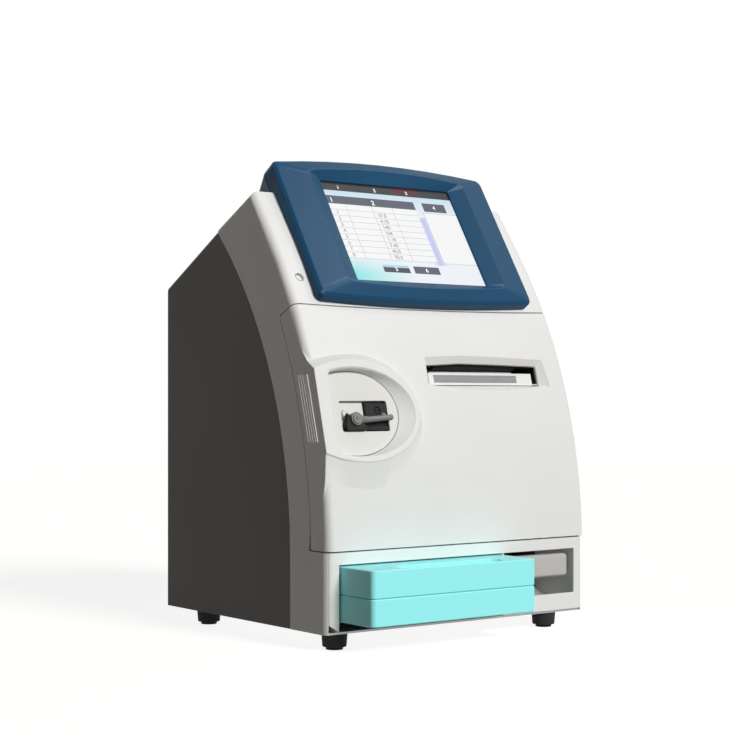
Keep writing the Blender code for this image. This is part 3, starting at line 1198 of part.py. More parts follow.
# Printer
def build_printer():
    back = PRINTER_PLATE + PRINTER_PLATE_THICK
    front = slab("printer_front", slot_outline(PLATE_SIDE), "y", PRINTER_PLATE + GAP, back,
                 "white_shell", CHASSIS)
    cut(front, slab("printer_opening", funnel_floor(), "y", 0.0, 2.0 * OVERRUN, frame=CHASSIS, cutter=True))
    flap = box("printer_cover",
               (PRINTER_OPEN_LEFT + FLAP_FREE, PRINTER_PLATE, PRINTER_OPEN_LOW + FLAP_FREE),
               (FLAP_RIGHT, PRINTER_PLATE + FLAP_THICK, FLAP_HIGH), "white_shell", CHASSIS)
    cut(flap, box("view_opening", (VIEW_LEFT, 0.0, VIEW_LOW), (VIEW_RIGHT, OVERRUN, VIEW_HIGH),
                  frame=CHASSIS,
                  cutter=True))
    axis = (0.0, PRINTER_PLATE + FLAP_THICK / 2.0, PRINTER_OPEN_LOW + FLAP_FREE + FLAP_THICK / 2.0)
    left = PRINTER_OPEN_LEFT + FLAP_FREE
    right = PRINTER_OPEN_RIGHT
    join(flap, rod("flap_pin", FLAP_PIN_RADIUS, (left - FLAP_PIN_LENGTH, *axis[1:]),
                   (right + FLAP_PIN_LENGTH, *axis[1:]), frame=CHASSIS, cutter=True, sides=10))
    cut(front, rod("flap_bore", FLAP_PIN_RADIUS + PIN_FREE, (left - FLAP_PIN_LENGTH - GAP, *axis[1:]),
                   (right + FLAP_PIN_LENGTH + GAP, *axis[1:]), frame=CHASSIS, cutter=True, sides=10))
    set_origin(flap, axis)
    box("printer_window", (VIEW_LEFT + GAP, PRINTER_PLATE + GAP, VIEW_LOW + GAP),
        (VIEW_RIGHT - GAP, PRINTER_PLATE + FLAP_THICK - GAP, VIEW_HIGH - GAP), "clear_tube", CHASSIS)
    body = box("printer_body", (PRINTER_LEFT, back + GAP, PRINTER_LOW),
               (PRINTER_RIGHT, PRINTER_BACK, PRINTER_HIGH),
               "black_plastic", CHASSIS)
    inner_left = PRINTER_LEFT + PRINTER_WALL
    inner_right = PRINTER_RIGHT - PRINTER_WALL
    cut(body, box("printer_hollow", (inner_left, 0.0, PRINTER_LOW + PRINTER_WALL),
                  (inner_right, PRINTER_BACK - PRINTER_WALL, PRINTER_HIGH - PRINTER_WALL), frame=CHASSIS,
                  cutter=True))
    middle = (PRINTER_OPEN_LEFT + FLAP_RIGHT) / 2.0
    roll = rod("paper_roll", ROLL_RADIUS, (middle - ROLL_WIDTH / 2.0, ROLL_DEPTH, ROLL_LEVEL),
               (middle + ROLL_WIDTH / 2.0, ROLL_DEPTH, ROLL_LEVEL), "paper", CHASSIS)
    join(roll, rod("roll_spindle", ROLL_SPINDLE, (inner_left + GAP, ROLL_DEPTH, ROLL_LEVEL),
                   (inner_right - GAP, ROLL_DEPTH, ROLL_LEVEL), frame=CHASSIS, cutter=True, sides=16))
    set_origin(roll, (middle, ROLL_DEPTH, ROLL_LEVEL))
    platen = rod("platen_roller", PLATEN_RADIUS, (middle - ROLL_WIDTH / 2.0, PLATEN_DEPTH, PLATEN_LEVEL),
                 (middle + ROLL_WIDTH / 2.0, PLATEN_DEPTH, PLATEN_LEVEL), "rubber", CHASSIS, sides=20)
    join(platen, rod("platen_journal", PLATEN_JOURNAL, (inner_left + GAP, PLATEN_DEPTH, PLATEN_LEVEL),
                     (inner_right - GAP, PLATEN_DEPTH, PLATEN_LEVEL), frame=CHASSIS, cutter=True, sides=12))
    set_origin(platen, (middle, PLATEN_DEPTH, PLATEN_LEVEL))
    top = PRINTER_HIGH - PRINTER_WALL
    join(body, box("print_head",
                   (middle - ROLL_WIDTH / 2.0, PLATEN_DEPTH - HEAD_DEPTH / 2.0, top - HEAD_HEIGHT),
                   (middle + ROLL_WIDTH / 2.0, PLATEN_DEPTH + HEAD_DEPTH / 2.0, top + PRINTER_WALL),
                   frame=CHASSIS,
                   cutter=True))


# Reagent bay
def build_bay():
    left = -HALF + BAY_LEFT
    right = -HALF + BAY_RIGHT
    edge = HALF - TRIM_INSET
    divider = -HALF + DIVIDER_LEFT
    outline = [(-edge, TRIM_TOP), (-edge, TRIM_BOTTOM), (left, POST_BOTTOM), (left, BAY_TOP),
               (right, BAY_TOP),
               (right, LATCH_FLOOR), (divider, LATCH_FLOOR), (divider, POST_BOTTOM), (edge, POST_BOTTOM),
               (edge, TRIM_TOP)]
    surround = slab("bay_surround", outline, "y", 0.0, WALL, "white_shell")
    inner = -HALF + DIVIDER_RIGHT
    pieces = [
        box("bay_roof", (left - WALL, WALL / 2.0, BAY_TOP), (right + WALL, TUNNEL_DEPTH, BAY_TOP + WALL),
            cutter=True),
        box("bay_left_wall", (left - WALL, WALL / 2.0, POST_BOTTOM),
            (left, TUNNEL_DEPTH, BAY_TOP + WALL / 2.0),
            cutter=True),
        box("bay_right_wall", (right, WALL / 2.0, POST_BOTTOM),
            (right + WALL, TUNNEL_DEPTH, BAY_TOP + WALL / 2.0),
            cutter=True),
        box("bay_divider", (divider, WALL / 2.0, POST_BOTTOM), (inner, TUNNEL_DEPTH, BAY_TOP + WALL / 2.0),
            cutter=True),
        slab("bay_scoop", scoop_outline(), "x", divider + GAP, right + WALL / 2.0, cutter=True),
    ]
    join(surround, *pieces)
    keep(surround, case_block("surround_face", 0.0, 0.0, EDGE_RADIUS))
    top = LOWER_FRONT_TOP - GAP
    cut(surround, box("lug_notch", (HALF - LUG_WIDTH - GAP, LOW_PIN_DEPTH - LUG_FRONT - GAP,
                                    top - LUG_HEIGHT - GAP),
                      (HALF, LOW_PIN_DEPTH + LUG_DEPTH + GAP, top + OVERRUN), cutter=True))
    pin_y, pin_z = LATCH_FACE + LATCH_THICK - LATCH_PIN_INSET, LATCH_HIGH - LATCH_PIN_INSET
    rod("latch_pin", LATCH_PIN_RADIUS, (inner + GAP, pin_y, pin_z), (right - GAP, pin_y, pin_z),
        "sheet_steel",
        sides=16)
    latch = box("pack_latch", (-HALF + LATCH_LEFT, LATCH_FACE, LATCH_LOW), (-HALF + LATCH_RIGHT,
                LATCH_FACE + LATCH_THICK, LATCH_HIGH), "grey_plastic", rounding=LATCH_ROUND, steps=3)
    cut(latch, rod("latch_bore", LATCH_PIN_RADIUS + PIN_FREE, (-HALF + LATCH_LEFT - GAP, pin_y, pin_z),
                   (-HALF + LATCH_RIGHT + GAP, pin_y, pin_z), cutter=True, sides=16))
    set_origin(latch, ((inner + right) / 2.0, pin_y, pin_z))
    build_tray(left, divider)


def scoop_outline():
    """Side outline (y, z) of the finger scoop: a shallow dip behind the bay's right lip."""
    run = TUNNEL_DEPTH - WALL
    upper = []
    for i in range(ARC_STEPS + 1):
        share = i / ARC_STEPS
        dip = SCOOP_DIP * math.sin(math.pi * share) ** SCOOP_FULL_SHARE
        upper.append((WALL / 2.0 + run * share, LATCH_FLOOR - dip))
    return upper + [(y, z - SCOOP_THICK) for y, z in reversed(upper)]


def build_tray(left, divider):
    """Folded steel tray under the pack and the deck above it, closed into one channel behind the surround."""
    level = PACK_BOTTOM - GAP
    inner = TUNNEL_DEPTH + GAP
    tray = box("bay_tray", (left + GAP, TRAY_FRONT, level - TRAY_THICK), (divider - GAP, TRAY_BACK, level),
               "sheet_steel")
    wall_left = left - WALL
    wall_right = -HALF + PACK_RIGHT + GAP
    floor = CASE_FLOOR + PAN_THICK + GAP
    walls = [
        box("tray_left", (wall_left, inner, floor), (wall_left + TRAY_THICK, TRAY_BACK, DECK_LEVEL),
            cutter=True),
        box("tray_join", (wall_left, inner, level - TRAY_THICK), (left + TRAY_THICK, TRAY_BACK, level),
            cutter=True),
        box("tray_right", (wall_right, inner, floor), (wall_right + TRAY_THICK, TRAY_BACK, DECK_LEVEL),
            cutter=True),
        box("tray_hem", (wall_right - TRAY_THICK, inner, level - TRAY_THICK),
            (wall_right + TRAY_THICK / 2.0, TRAY_BACK, level), cutter=True),
        box("tray_deck", (wall_left, inner, DECK_LEVEL - TRAY_THICK), (-wall_left, TRAY_BACK, DECK_LEVEL),
            cutter=True),
        box("tray_far", (-wall_left - TRAY_THICK, inner, floor), (-wall_left, TRAY_BACK, DECK_LEVEL),
            cutter=True),
    ]
    join(tray, *walls)


def build_pack():
    left = -HALF + PACK_LEFT
    right = -HALF + PACK_RIGHT
    front = -PACK_PROUD
    back = PACK_LENGTH - PACK_PROUD
    seam = GAP / 2.0
    for name, low, high in (("pack_lower_shell", PACK_BOTTOM, PACK_SEAM - seam),
                            ("pack_upper_shell", PACK_SEAM + seam, PACK_TOP)):
        shell = slab(name, rounded(left, right, front, back, PACK_ROUND), "z", low, high, "teal_pack")
        bevel = shell.modifiers.new("Edges", "BEVEL")
        bevel.width = PACK_REVEAL
        bevel.segments = 2
        bevel.limit_method = "ANGLE"
        bevel.angle_limit = math.radians(60.0)
        if name == "pack_upper_shell":
            recess = rounded(-HALF + GRIP_RECESS_LEFT, -HALF + GRIP_RECESS_RIGHT, front + GRIP_RECESS_NEAR,
                             front + GRIP_RECESS_FAR, GRIP_RECESS_ROUND, steps=6)
            cut(shell, slab("pack_recess", recess, "z", high - GRIP_RECESS_DEPTH, high + OVERRUN,
                            cutter=True))
    start, end = -HALF + MANIFOLD_LEFT, -HALF + MANIFOLD_RIGHT
    low, high = PACK_BOTTOM + PACK_ROUND, PACK_TOP - PACK_ROUND
    manifold = box("pack_manifold", (start, back + GAP, low), (end, back + GAP + MANIFOLD_THICK, high),
                   "pale_plastic")
    face = back + GAP + MANIFOLD_THICK
    plug = face + GAP
    z = (low + high) / 2.0
    connector = box("bay_connector", (start, plug, PACK_BOTTOM), (end, plug + CONNECTOR_THICK, high),
                    "black_plastic")
    for i in range(PORT_COUNT):
        x = start + (end - start) * (i + 0.5) / PORT_COUNT
        cut(manifold, rod("manifold_port", PORT_RADIUS, (x, face - NOZZLE_LENGTH, z),
                          (x, face + GAP / 2.0, z),
                          cutter=True, sides=12))
        join(connector, rod("bay_nozzle", NOZZLE_RADIUS, (x, plug + GAP, z),
                            (x, plug - NOZZLE_LENGTH + GAP, z),
                            cutter=True, sides=12))


# Chassis
def build_chassis():
    plate = box("inner_bulkhead", (-PAN_HALF, BULKHEAD_DEPTH, BULKHEAD_LOW),
                (PAN_HALF, BULKHEAD_DEPTH + SHEET, BULKHEAD_HIGH), "sheet_steel", CHASSIS)
    for side in (-1.0, 1.0):
        edge = side * PAN_HALF
        inner = edge - side * SHEET
        join(plate, box("bulkhead_flange", (min(edge, inner), BULKHEAD_DEPTH - FLANGE, BULKHEAD_LOW),
                        (max(edge, inner), BULKHEAD_DEPTH + SHEET / 2.0, BULKHEAD_HIGH), frame=CHASSIS,
                        cutter=True))
    shaft = (PUMP_X, PUMP_LEVEL)
    cut(plate, y_rod("shaft_hole", PUMP_SHAFT + SHEET, shaft, BULKHEAD_DEPTH - SHEET,
                     BULKHEAD_DEPTH + 2.0 * SHEET))
    cut(plate, y_rod("probe_hole", PROBE_RADIUS + SHEET, (ADAPTOR_X, ADAPTOR_LEVEL), BULKHEAD_DEPTH - SHEET,
                     BULKHEAD_DEPTH + 2.0 * SHEET))
    housing = y_rod("pump_housing", PUMP_RADIUS, shaft, PUMP_FACE, BULKHEAD_DEPTH - GAP, "pale_plastic",
                    sides=32)
    cut(housing, y_rod("pump_bed", PUMP_BED_RADIUS, shaft, 0.0, PUMP_FLOOR, sides=32))
    cut(housing, y_rod("pump_shaft_bore", PUMP_SHAFT + GAP, shaft, PUMP_FLOOR - SHEET,
                       BULKHEAD_DEPTH + OVERRUN))
    width = TUBE_EXIT + TUBE_RADIUS + 2.0 * GAP
    cut(housing, box("pump_mouth", (PUMP_X - width, 0.0, PUMP_LEVEL - 2.0 * PUMP_RADIUS),
                     (PUMP_X + width, PUMP_FLOOR, PUMP_LEVEL - PUMP_BED_RADIUS / 2.0), frame=CHASSIS,
                     cutter=True))
    build_rotor(shaft)
    motor_face = BULKHEAD_DEPTH + SHEET + GAP
    motor = y_rod("pump_motor", MOTOR_RADIUS, shaft, motor_face, motor_face + MOTOR_LENGTH, "black_plastic")
    cut(motor, y_rod("motor_bore", PUMP_SHAFT + GAP, shaft, 0.0, motor_face + MOTOR_RADIUS))
    build_tube(shaft)
    block = box("electrode_block", (BLOCK_LEFT, BLOCK_FACE, BLOCK_LOW),
                (BLOCK_RIGHT, BULKHEAD_DEPTH - GAP, BLOCK_HIGH), "clear_tube", CHASSIS)
    middle = (BLOCK_LOW + BLOCK_HIGH) / 2.0
    first = (BLOCK_LEFT + BLOCK_RIGHT - ELECTRODE_PITCH * (ELECTRODE_COUNT - 1)) / 2.0
    for i in range(ELECTRODE_COUNT):
        place = (first + ELECTRODE_PITCH * i, middle)
        cut(block, y_rod("electrode_seat", ELECTRODE_RADIUS + GAP, place, 0.0, ELECTRODE_SEAT + GAP))
        stick = y_rod("electrode_{}".format(i + 1), ELECTRODE_RADIUS, place, ELECTRODE_FACE + ELECTRODE_CAP,
                      ELECTRODE_SEAT, "grey_plastic")
        join(stick, y_rod("electrode_cap", ELECTRODE_RADIUS + ELECTRODE_RIM, place, ELECTRODE_FACE,
                          ELECTRODE_FACE + ELECTRODE_CAP + GAP))
    edge = -HALF + WALL + GAP
    box("door_catch", (edge, CATCH_FACE, CATCH_LEVEL - CATCH_HALF), (edge + CATCH_WIDTH, CATCH_BACK,
        CATCH_LEVEL + CATCH_HALF), "black_plastic", CHASSIS)
    box("catch_strike", (edge, STRIKE_FACE, CATCH_LEVEL - CATCH_HALF),
        (edge + CATCH_WIDTH, CATCH_FACE - GAP,
        CATCH_LEVEL + CATCH_HALF), "sheet_steel", CHASSIS)
    for name, low, high in hinge_pins():
        rod(name, PIN_RADIUS, (HINGE_X, HINGE_DEPTH, low), (HINGE_X, HINGE_DEPTH, high), "sheet_steel",
            CHASSIS,
            sides=16)


def hinge_pins():
    """Name, foot and head of each hinge pin along the leaning axis."""
    top = DOOR_TOP_SIDE - KNUCKLE_LENGTH + GAP
    low = (DOOR_BOTTOM - CHASSIS_LEVEL + HINGE_DEPTH * math.sin(CHASSIS_LEAN)) / math.cos(CHASSIS_LEAN)
    end = low + KNUCKLE_LENGTH - GAP
    return (("hinge_pin_upper", top, DOOR_TOP_SIDE + SEAM + PIN_SEAT - GAP),
            ("hinge_pin_lower", low - PIN_SEAT, end))


def y_rod(name, radius, place, near, far, colour=None, sides=ROUND):
    """Rod along the chassis frame's y axis; a cutter where it has no colour."""
    x, z = place
    return rod(name, radius, (x, near, z), (x, far, z), colour, CHASSIS, colour is None, sides)


def build_rotor(shaft):
    back = PUMP_FLOOR - SHEET
    rotor = y_rod("pump_rotor", PUMP_SHAFT, shaft, ROTOR_FACE, BULKHEAD_DEPTH + SHEET + MOTOR_RADIUS,
                  "grey_plastic",
                  sides=16)
    spread = ROLLER_ORBIT + ROLLER_RADIUS / 3.0
    join(rotor, y_rod("rotor_face", spread, shaft, ROTOR_FACE, ROTOR_FACE + ROTOR_THICK))
    join(rotor, y_rod("rotor_back", spread, shaft, back - ROTOR_THICK, back))
    for i in range(ROLLER_COUNT):
        turn = math.radians(90.0) + 2.0 * math.pi * i / ROLLER_COUNT
        place = (shaft[0] + ROLLER_ORBIT * math.cos(turn), shaft[1] + ROLLER_ORBIT * math.sin(turn))
        join(rotor, y_rod("roller", ROLLER_RADIUS, place, ROTOR_FACE + GAP, back - GAP, sides=12))
    set_origin(rotor, (shaft[0], ROTOR_FACE, shaft[1]))


def build_tube(shaft):
    """Pump tube: a hoop round the rollers with both ends led down out of the housing."""
    curve = bpy.data.curves.new("pump_tube", "CURVE")
    curve.dimensions = "3D"
    curve.bevel_depth = TUBE_RADIUS
    curve.bevel_resolution = 2
    curve.use_fill_caps = True
    drop = math.acos(TUBE_EXIT / TUBE_ORBIT)
    points = [(TUBE_EXIT, -PUMP_RADIUS - TUBE_EXIT), (TUBE_EXIT, -PUMP_RADIUS)]
    for i in range(ROUND + 1):
        turn = -drop + (math.pi + 2.0 * drop) * i / ROUND
        points.append((TUBE_ORBIT * math.cos(turn), TUBE_ORBIT * math.sin(turn)))
    points += [(-TUBE_EXIT, -PUMP_RADIUS), (-TUBE_EXIT, -PUMP_RADIUS - TUBE_EXIT)]
    spline = curve.splines.new("POLY")
    spline.points.add(len(points) - 1)
    for point, (x, z) in zip(spline.points, points):
        point.co = (shaft[0] + x, PUMP_PLANE, shaft[1] + z, 1.0)
    tube = bpy.data.objects.new("pump_tube", curve)
    PARTS.objects.link(tube)
    tube.parent = CHASSIS
    curve.materials.append(MATERIALS["clear_tube"])


# Back and floor
def build_back():
    pan = box("base_pan", (-PAN_HALF, PAN_FRONT, CASE_FLOOR), (PAN_HALF, PANEL_BACK - PANEL_THICK - GAP,
              CASE_FLOOR + PAN_THICK), "sheet_steel")
    for side in (-1.0, 1.0):
        edge = side * PAN_HALF
        inner = edge - side * PAN_THICK
        join(pan, box("pan_flange", (min(edge, inner), TUNNEL_DEPTH + GAP, CASE_FLOOR),
                      (max(edge, inner), PANEL_BACK - PANEL_THICK - GAP, CASE_FLOOR + PAN_FLANGE),
                      cutter=True))
    tops = case_profile(COVER_STEP + WALL + GAP, CASE_FLOOR, PANEL_BACK)
    top = tops[-2][1]
    front = PANEL_BACK - PANEL_THICK
    top -= GAP
    outline = [(-PAN_HALF, CASE_FLOOR), (PAN_HALF, CASE_FLOOR), (PAN_HALF, top - PANEL_CORNER),
               (PAN_HALF - PANEL_CORNER, top), (PANEL_CORNER - PAN_HALF, top),
               (-PAN_HALF, top - PANEL_CORNER)]
    panel = slab("rear_panel", outline, "y", front, PANEL_BACK, "sheet_steel")
    fan = (FAN_X, FAN_LEVEL)
    cut(panel, depth_rod("fan_opening", FAN_TIP, fan, 0.0, CASE_DEPTH + OVERRUN, sides=32))
    for x, z, wide, high in ((INLET_X, INLET_Z, INLET_HALF_WIDTH, INLET_HALF_HEIGHT),
                             (SWITCH_X, INLET_Z, SWITCH_HALF_WIDTH, SWITCH_HALF_HEIGHT),
                             (IO_X, IO_Z, IO_HALF_WIDTH, IO_HALF_HEIGHT)):
        cut(panel, box("panel_opening", (x - wide - GAP, 0.0, z - high - GAP),
                       (x + wide + GAP, CASE_DEPTH + OVERRUN, z + high + GAP), cutter=True))
    build_fan(fan, front)
    build_inlet()
    build_ports()


def depth_rod(name, radius, place, near, far, colour=None, sides=ROUND):
    """Rod along the case frame's y axis; a cutter where it has no colour."""
    x, z = place
    return rod(name, radius, (x, near, z), (x, far, z), colour, CASE, colour is None, sides)


def build_fan(fan, panel):
    back = panel - GAP
    near = back - FAN_THICK
    half = FAN_SIZE / 2.0
    x, z = fan
    frame = box("fan_frame", (x - half, near, z - half), (x + half, back, z + half), "black_plastic")
    cut(frame, depth_rod("fan_bore", FAN_BORE, fan, 0.0, CASE_DEPTH, sides=32))
    join(frame, box("fan_strut", (x - FAN_BORE - STRUT / 2.0, near, z - STRUT / 2.0),
                    (x + FAN_BORE + STRUT / 2.0, near + STRUT / 2.0, z + STRUT / 2.0), cutter=True))
    join(frame, box("fan_strut", (x - STRUT / 2.0, near, z - FAN_BORE - STRUT / 2.0),
                    (x + STRUT / 2.0, near + STRUT / 2.0, z + FAN_BORE + STRUT / 2.0), cutter=True))
    join(frame, depth_rod("fan_stator", FAN_HUB, fan, near, near + STRUT / 2.0))
    join(frame, depth_rod("fan_axle", FAN_PIN, fan, near, back - STRUT, sides=16))
    hub_near = near + STRUT / 2.0 + GAP
    rotor = depth_rod("fan_rotor", FAN_HUB, fan, hub_near, back - STRUT / 2.0, "black_plastic")
    middle = hub_near + BLADE_DEPTH / 2.0 + GAP
    for i in range(FAN_BLADES):
        turn = 2.0 * math.pi * i / FAN_BLADES
        blade = box("fan_blade", (FAN_HUB - STRUT / 2.0, -BLADE_DEPTH / 2.0, -BLADE_THICK / 2.0),
                    (FAN_TIP, BLADE_DEPTH / 2.0, BLADE_THICK / 2.0), cutter=True)
        blade.data.transform(Matrix.Rotation(BLADE_PITCH, 4, "X"))
        blade.data.transform(Matrix.Rotation(turn, 4, "Y"))
        blade.location = (x, middle, z)
        join(rotor, blade)
    cut(rotor, depth_rod("rotor_bore", FAN_PIN + GAP, fan, 0.0, back - STRUT + GAP, sides=16))
    set_origin(rotor, (x, hub_near, z))
    build_guard(fan)


def build_guard(fan):
    x, z = fan
    near = PANEL_BACK + GAP
    far = near + GUARD_THICK
    guard = depth_rod("fan_guard", GUARD_RING * 2.0, fan, near, far, "sheet_steel", sides=16)
    for i in range(GUARD_RINGS):
        radius = GUARD_OUTER * (i + 1) / GUARD_RINGS
        join(guard, slab("guard_ring", circle(x, z, radius + GUARD_RING / 2.0, GUARD_SIDES), "y", near, far,
                         cutter=True, holes=(circle(x, z, radius - GUARD_RING / 2.0, GUARD_SIDES),)))
    for i in range(2):
        arm = box("guard_arm", (-GUARD_TAB_ORBIT, near, -GUARD_RING / 2.0),
                  (GUARD_TAB_ORBIT, far, GUARD_RING / 2.0), cutter=True)
        arm.data.transform(Matrix.Rotation(math.pi * (0.25 + 0.5 * i), 4, "Y"))
        arm.location = (x, 0.0, z)
        join(guard, arm)
    for i in range(4):
        turn = math.pi * (0.25 + 0.5 * i)
        place = (x + GUARD_TAB_ORBIT * math.cos(turn), z + GUARD_TAB_ORBIT * math.sin(turn))
        join(guard, depth_rod("guard_tab", GUARD_TAB, place, near, far, sides=16))


def build_inlet():
    back = PANEL_BACK
    x, z = INLET_X, INLET_Z
    wide, high = INLET_HALF_WIDTH, INLET_HALF_HEIGHT
    inlet = box("power_inlet", (x - wide, back - INLET_DEPTH, z - high),
                (x + wide, back + GAP + PANEL_THICK / 2.0,
                z + high), "black_plastic")
    join(inlet, box("inlet_flange", (x - wide - INLET_FLANGE, back + GAP, z - high - PANEL_THICK),
                    (x + wide + INLET_FLANGE, back + GAP + PANEL_THICK, z + high + PANEL_THICK),
                    cutter=True))
    cut(inlet, box("inlet_socket", (x - wide + INLET_WALL, back - INLET_DEPTH + 2.0 * INLET_WALL,
                                    z - high + INLET_WALL),
                   (x + wide - INLET_WALL, CASE_DEPTH + OVERRUN, z + high - INLET_WALL), cutter=True))
    for side in (-1.0, 0.0, 1.0):
        px = x + side * wide / 2.0
        pz = z + (high / 4.0 if side == 0.0 else 0.0)
        join(inlet, box("inlet_pin", (px - INLET_PIN / 2.0, back - INLET_DEPTH + INLET_WALL,
                                      pz - INLET_PIN),
                        (px + INLET_PIN / 2.0, back - INLET_PIN, pz + INLET_PIN), cutter=True))
    x = SWITCH_X
    wide, high = SWITCH_HALF_WIDTH, SWITCH_HALF_HEIGHT
    frame = box("switch_frame", (x - wide, back - SWITCH_DEPTH, z - high),
                (x + wide, back + GAP + PANEL_THICK / 2.0,
                z + high), "black_plastic")
    join(frame, box("switch_flange", (x - wide - PANEL_THICK, back + GAP, z - high - PANEL_THICK),
                    (x + wide + PANEL_THICK, back + GAP + PANEL_THICK, z + high + PANEL_THICK),
                    cutter=True))
    cut(frame, box("switch_well", (x - wide + SWITCH_FRAME, back - SWITCH_DEPTH + SWITCH_FRAME,
                                   z - high + SWITCH_FRAME),
                   (x + wide - SWITCH_FRAME, CASE_DEPTH + OVERRUN, z + high - SWITCH_FRAME), cutter=True))
    centre_y = back - ROCKER_DEPTH
    rocker = rod("power_switch", ROCKER_RADIUS, (x - wide + SWITCH_FRAME + GAP, centre_y, z),
                 (x + wide - SWITCH_FRAME - GAP, centre_y, z), "black_plastic", sides=48)
    reach = high - SWITCH_FRAME - ROCKER_SIDE_FREE
    keep(rocker, box("rocker_key", (x - wide, back - ROCKER_BODY, z - reach),
                     (x + wide, CASE_DEPTH, z + reach),
                     cutter=True))
    set_origin(rocker, (x, centre_y, z))


def build_ports():
    back = PANEL_BACK
    x, z = IO_X, IO_Z
    wide, high = IO_HALF_WIDTH, IO_HALF_HEIGHT
    ports = box("io_ports", (x - wide, back - IO_DEPTH, z - high), (x + wide, back + GAP, z + high),
                "sheet_steel")
    socket_shares = ((-0.66, 0.22, 0.6), (-0.12, 0.14, 0.5), (0.26, 0.14, 0.5), (0.70, 0.18, 0.62))
    for middle_share, half_share, rise_share in socket_shares:
        px = x + wide * middle_share
        cut(ports, box("port_socket",
                       (px - wide * half_share, back - IO_DEPTH / 2.0, z - high * rise_share),
                       (px + wide * half_share, CASE_DEPTH + OVERRUN, z + high * rise_share), cutter=True))


def build_inside():
    deck = DECK_LEVEL + GAP
    box("power_supply", (SUPPLY_LEFT, SUPPLY_FRONT, deck),
        (SUPPLY_RIGHT, SUPPLY_BACK, deck + SUPPLY_HEIGHT),
        "sheet_steel", rounding=SUPPLY_ROUND, steps=1)
    board = box("main_board", (BOARD_X, BOARD_FRONT, deck),
                (BOARD_X + BOARD_THICK, BOARD_BACK, deck + BOARD_HEIGHT),
                "board_green")
    run = BOARD_BACK - BOARD_FRONT
    foot_shares = (0.1, 0.8)
    chip_shares = ((0.3, 0.6, 0.2), (0.6, 0.35, 0.16), (0.65, 0.75, 0.12), (0.25, 0.25, 0.1))
    for share in foot_shares:
        y = BOARD_FRONT + run * share
        join(board, box("board_foot", (BOARD_X + BOARD_THICK / 2.0, y, deck),
                        (BOARD_X + BOARD_FOOT, y + BOARD_FOOT, deck + BOARD_THICK), cutter=True))
        join(board, box("foot_web", (BOARD_X + BOARD_THICK / 2.0, y, deck),
                        (BOARD_X + BOARD_THICK * 2.0, y + BOARD_FOOT, deck + BOARD_FOOT), cutter=True))
    for y_share, z_share, size_share in chip_shares:
        y = BOARD_FRONT + run * y_share
        z = deck + BOARD_HEIGHT * z_share
        size = run * size_share
        join(board, box("board_chip", (BOARD_X + BOARD_THICK / 2.0, y, z),
                        (BOARD_X + BOARD_THICK + CHIP_HEIGHT, y + size, z + size), cutter=True))


def build_feet():
    top = CASE_FLOOR - GAP
    profile = [(0.0, top), (FOOT_RADIUS, top), (FOOT_NECK_RADIUS, FOOT_TREAD),
               (FOOT_TREAD_RADIUS, FOOT_TREAD),
               (FOOT_TREAD_RADIUS, 0.0), (0.0, 0.0)]
    left = FOOT_SIDE - PAN_HALF
    right = PAN_HALF - FOOT_SIDE_RIGHT
    rear = PANEL_BACK - FOOT_REAR_SPACE
    for name, x, y in (("foot_front_left", left, FOOT_FRONT), ("foot_front_right", right, FOOT_FRONT),
                       ("foot_rear_left", left, rear), ("foot_rear_right", right, rear)):
        turned(name, profile, (x, y, 0.0), "rubber", CASE, sides=20)


def main():
    build_door()
    build_frame()
    build_cover()
    build_display()
    build_button()
    build_sampler()
    build_printer()
    build_bay()
    build_pack()
    build_chassis()
    build_back()
    build_inside()
    build_feet()


main()
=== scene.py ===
"""Looks of the bench blood gas analyzer, laid out as a Blender add-on."""
import json
import math

import bmesh
import bpy
from mathutils import Matrix, Vector


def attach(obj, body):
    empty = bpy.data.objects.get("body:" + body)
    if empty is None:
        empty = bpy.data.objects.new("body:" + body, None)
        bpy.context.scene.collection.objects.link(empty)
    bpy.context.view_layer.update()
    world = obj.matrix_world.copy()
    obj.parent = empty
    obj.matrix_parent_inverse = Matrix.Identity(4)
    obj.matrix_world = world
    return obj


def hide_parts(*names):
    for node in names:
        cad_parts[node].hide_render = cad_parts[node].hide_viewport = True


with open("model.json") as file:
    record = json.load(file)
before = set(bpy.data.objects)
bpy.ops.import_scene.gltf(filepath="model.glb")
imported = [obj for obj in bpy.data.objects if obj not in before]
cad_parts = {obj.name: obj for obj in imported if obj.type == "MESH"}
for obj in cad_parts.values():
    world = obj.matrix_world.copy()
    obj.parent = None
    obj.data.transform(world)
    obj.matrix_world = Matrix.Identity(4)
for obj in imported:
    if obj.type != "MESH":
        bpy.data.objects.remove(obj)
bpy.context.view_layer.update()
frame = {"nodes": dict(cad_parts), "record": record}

bl_info = {
    "name": "Blood gas analyzer",
    "version": (1, 0, 0),
    "blender": (4, 5, 0),
    "location": "3D View > Sidebar > Analyzer",
    "description": "Finishes and fittings of a bench blood gas analyzer",
    "category": "Object",
}

MM = 0.001

# Frame of the display, which leans back
DISPLAY_LEAN = math.radians(32.0)
DISPLAY_AT = Vector((0.0, -0.033, 0.402))
DISPLAY = Matrix.Translation(DISPLAY_AT) @ Matrix.Rotation(-DISPLAY_LEAN, 4, "X")

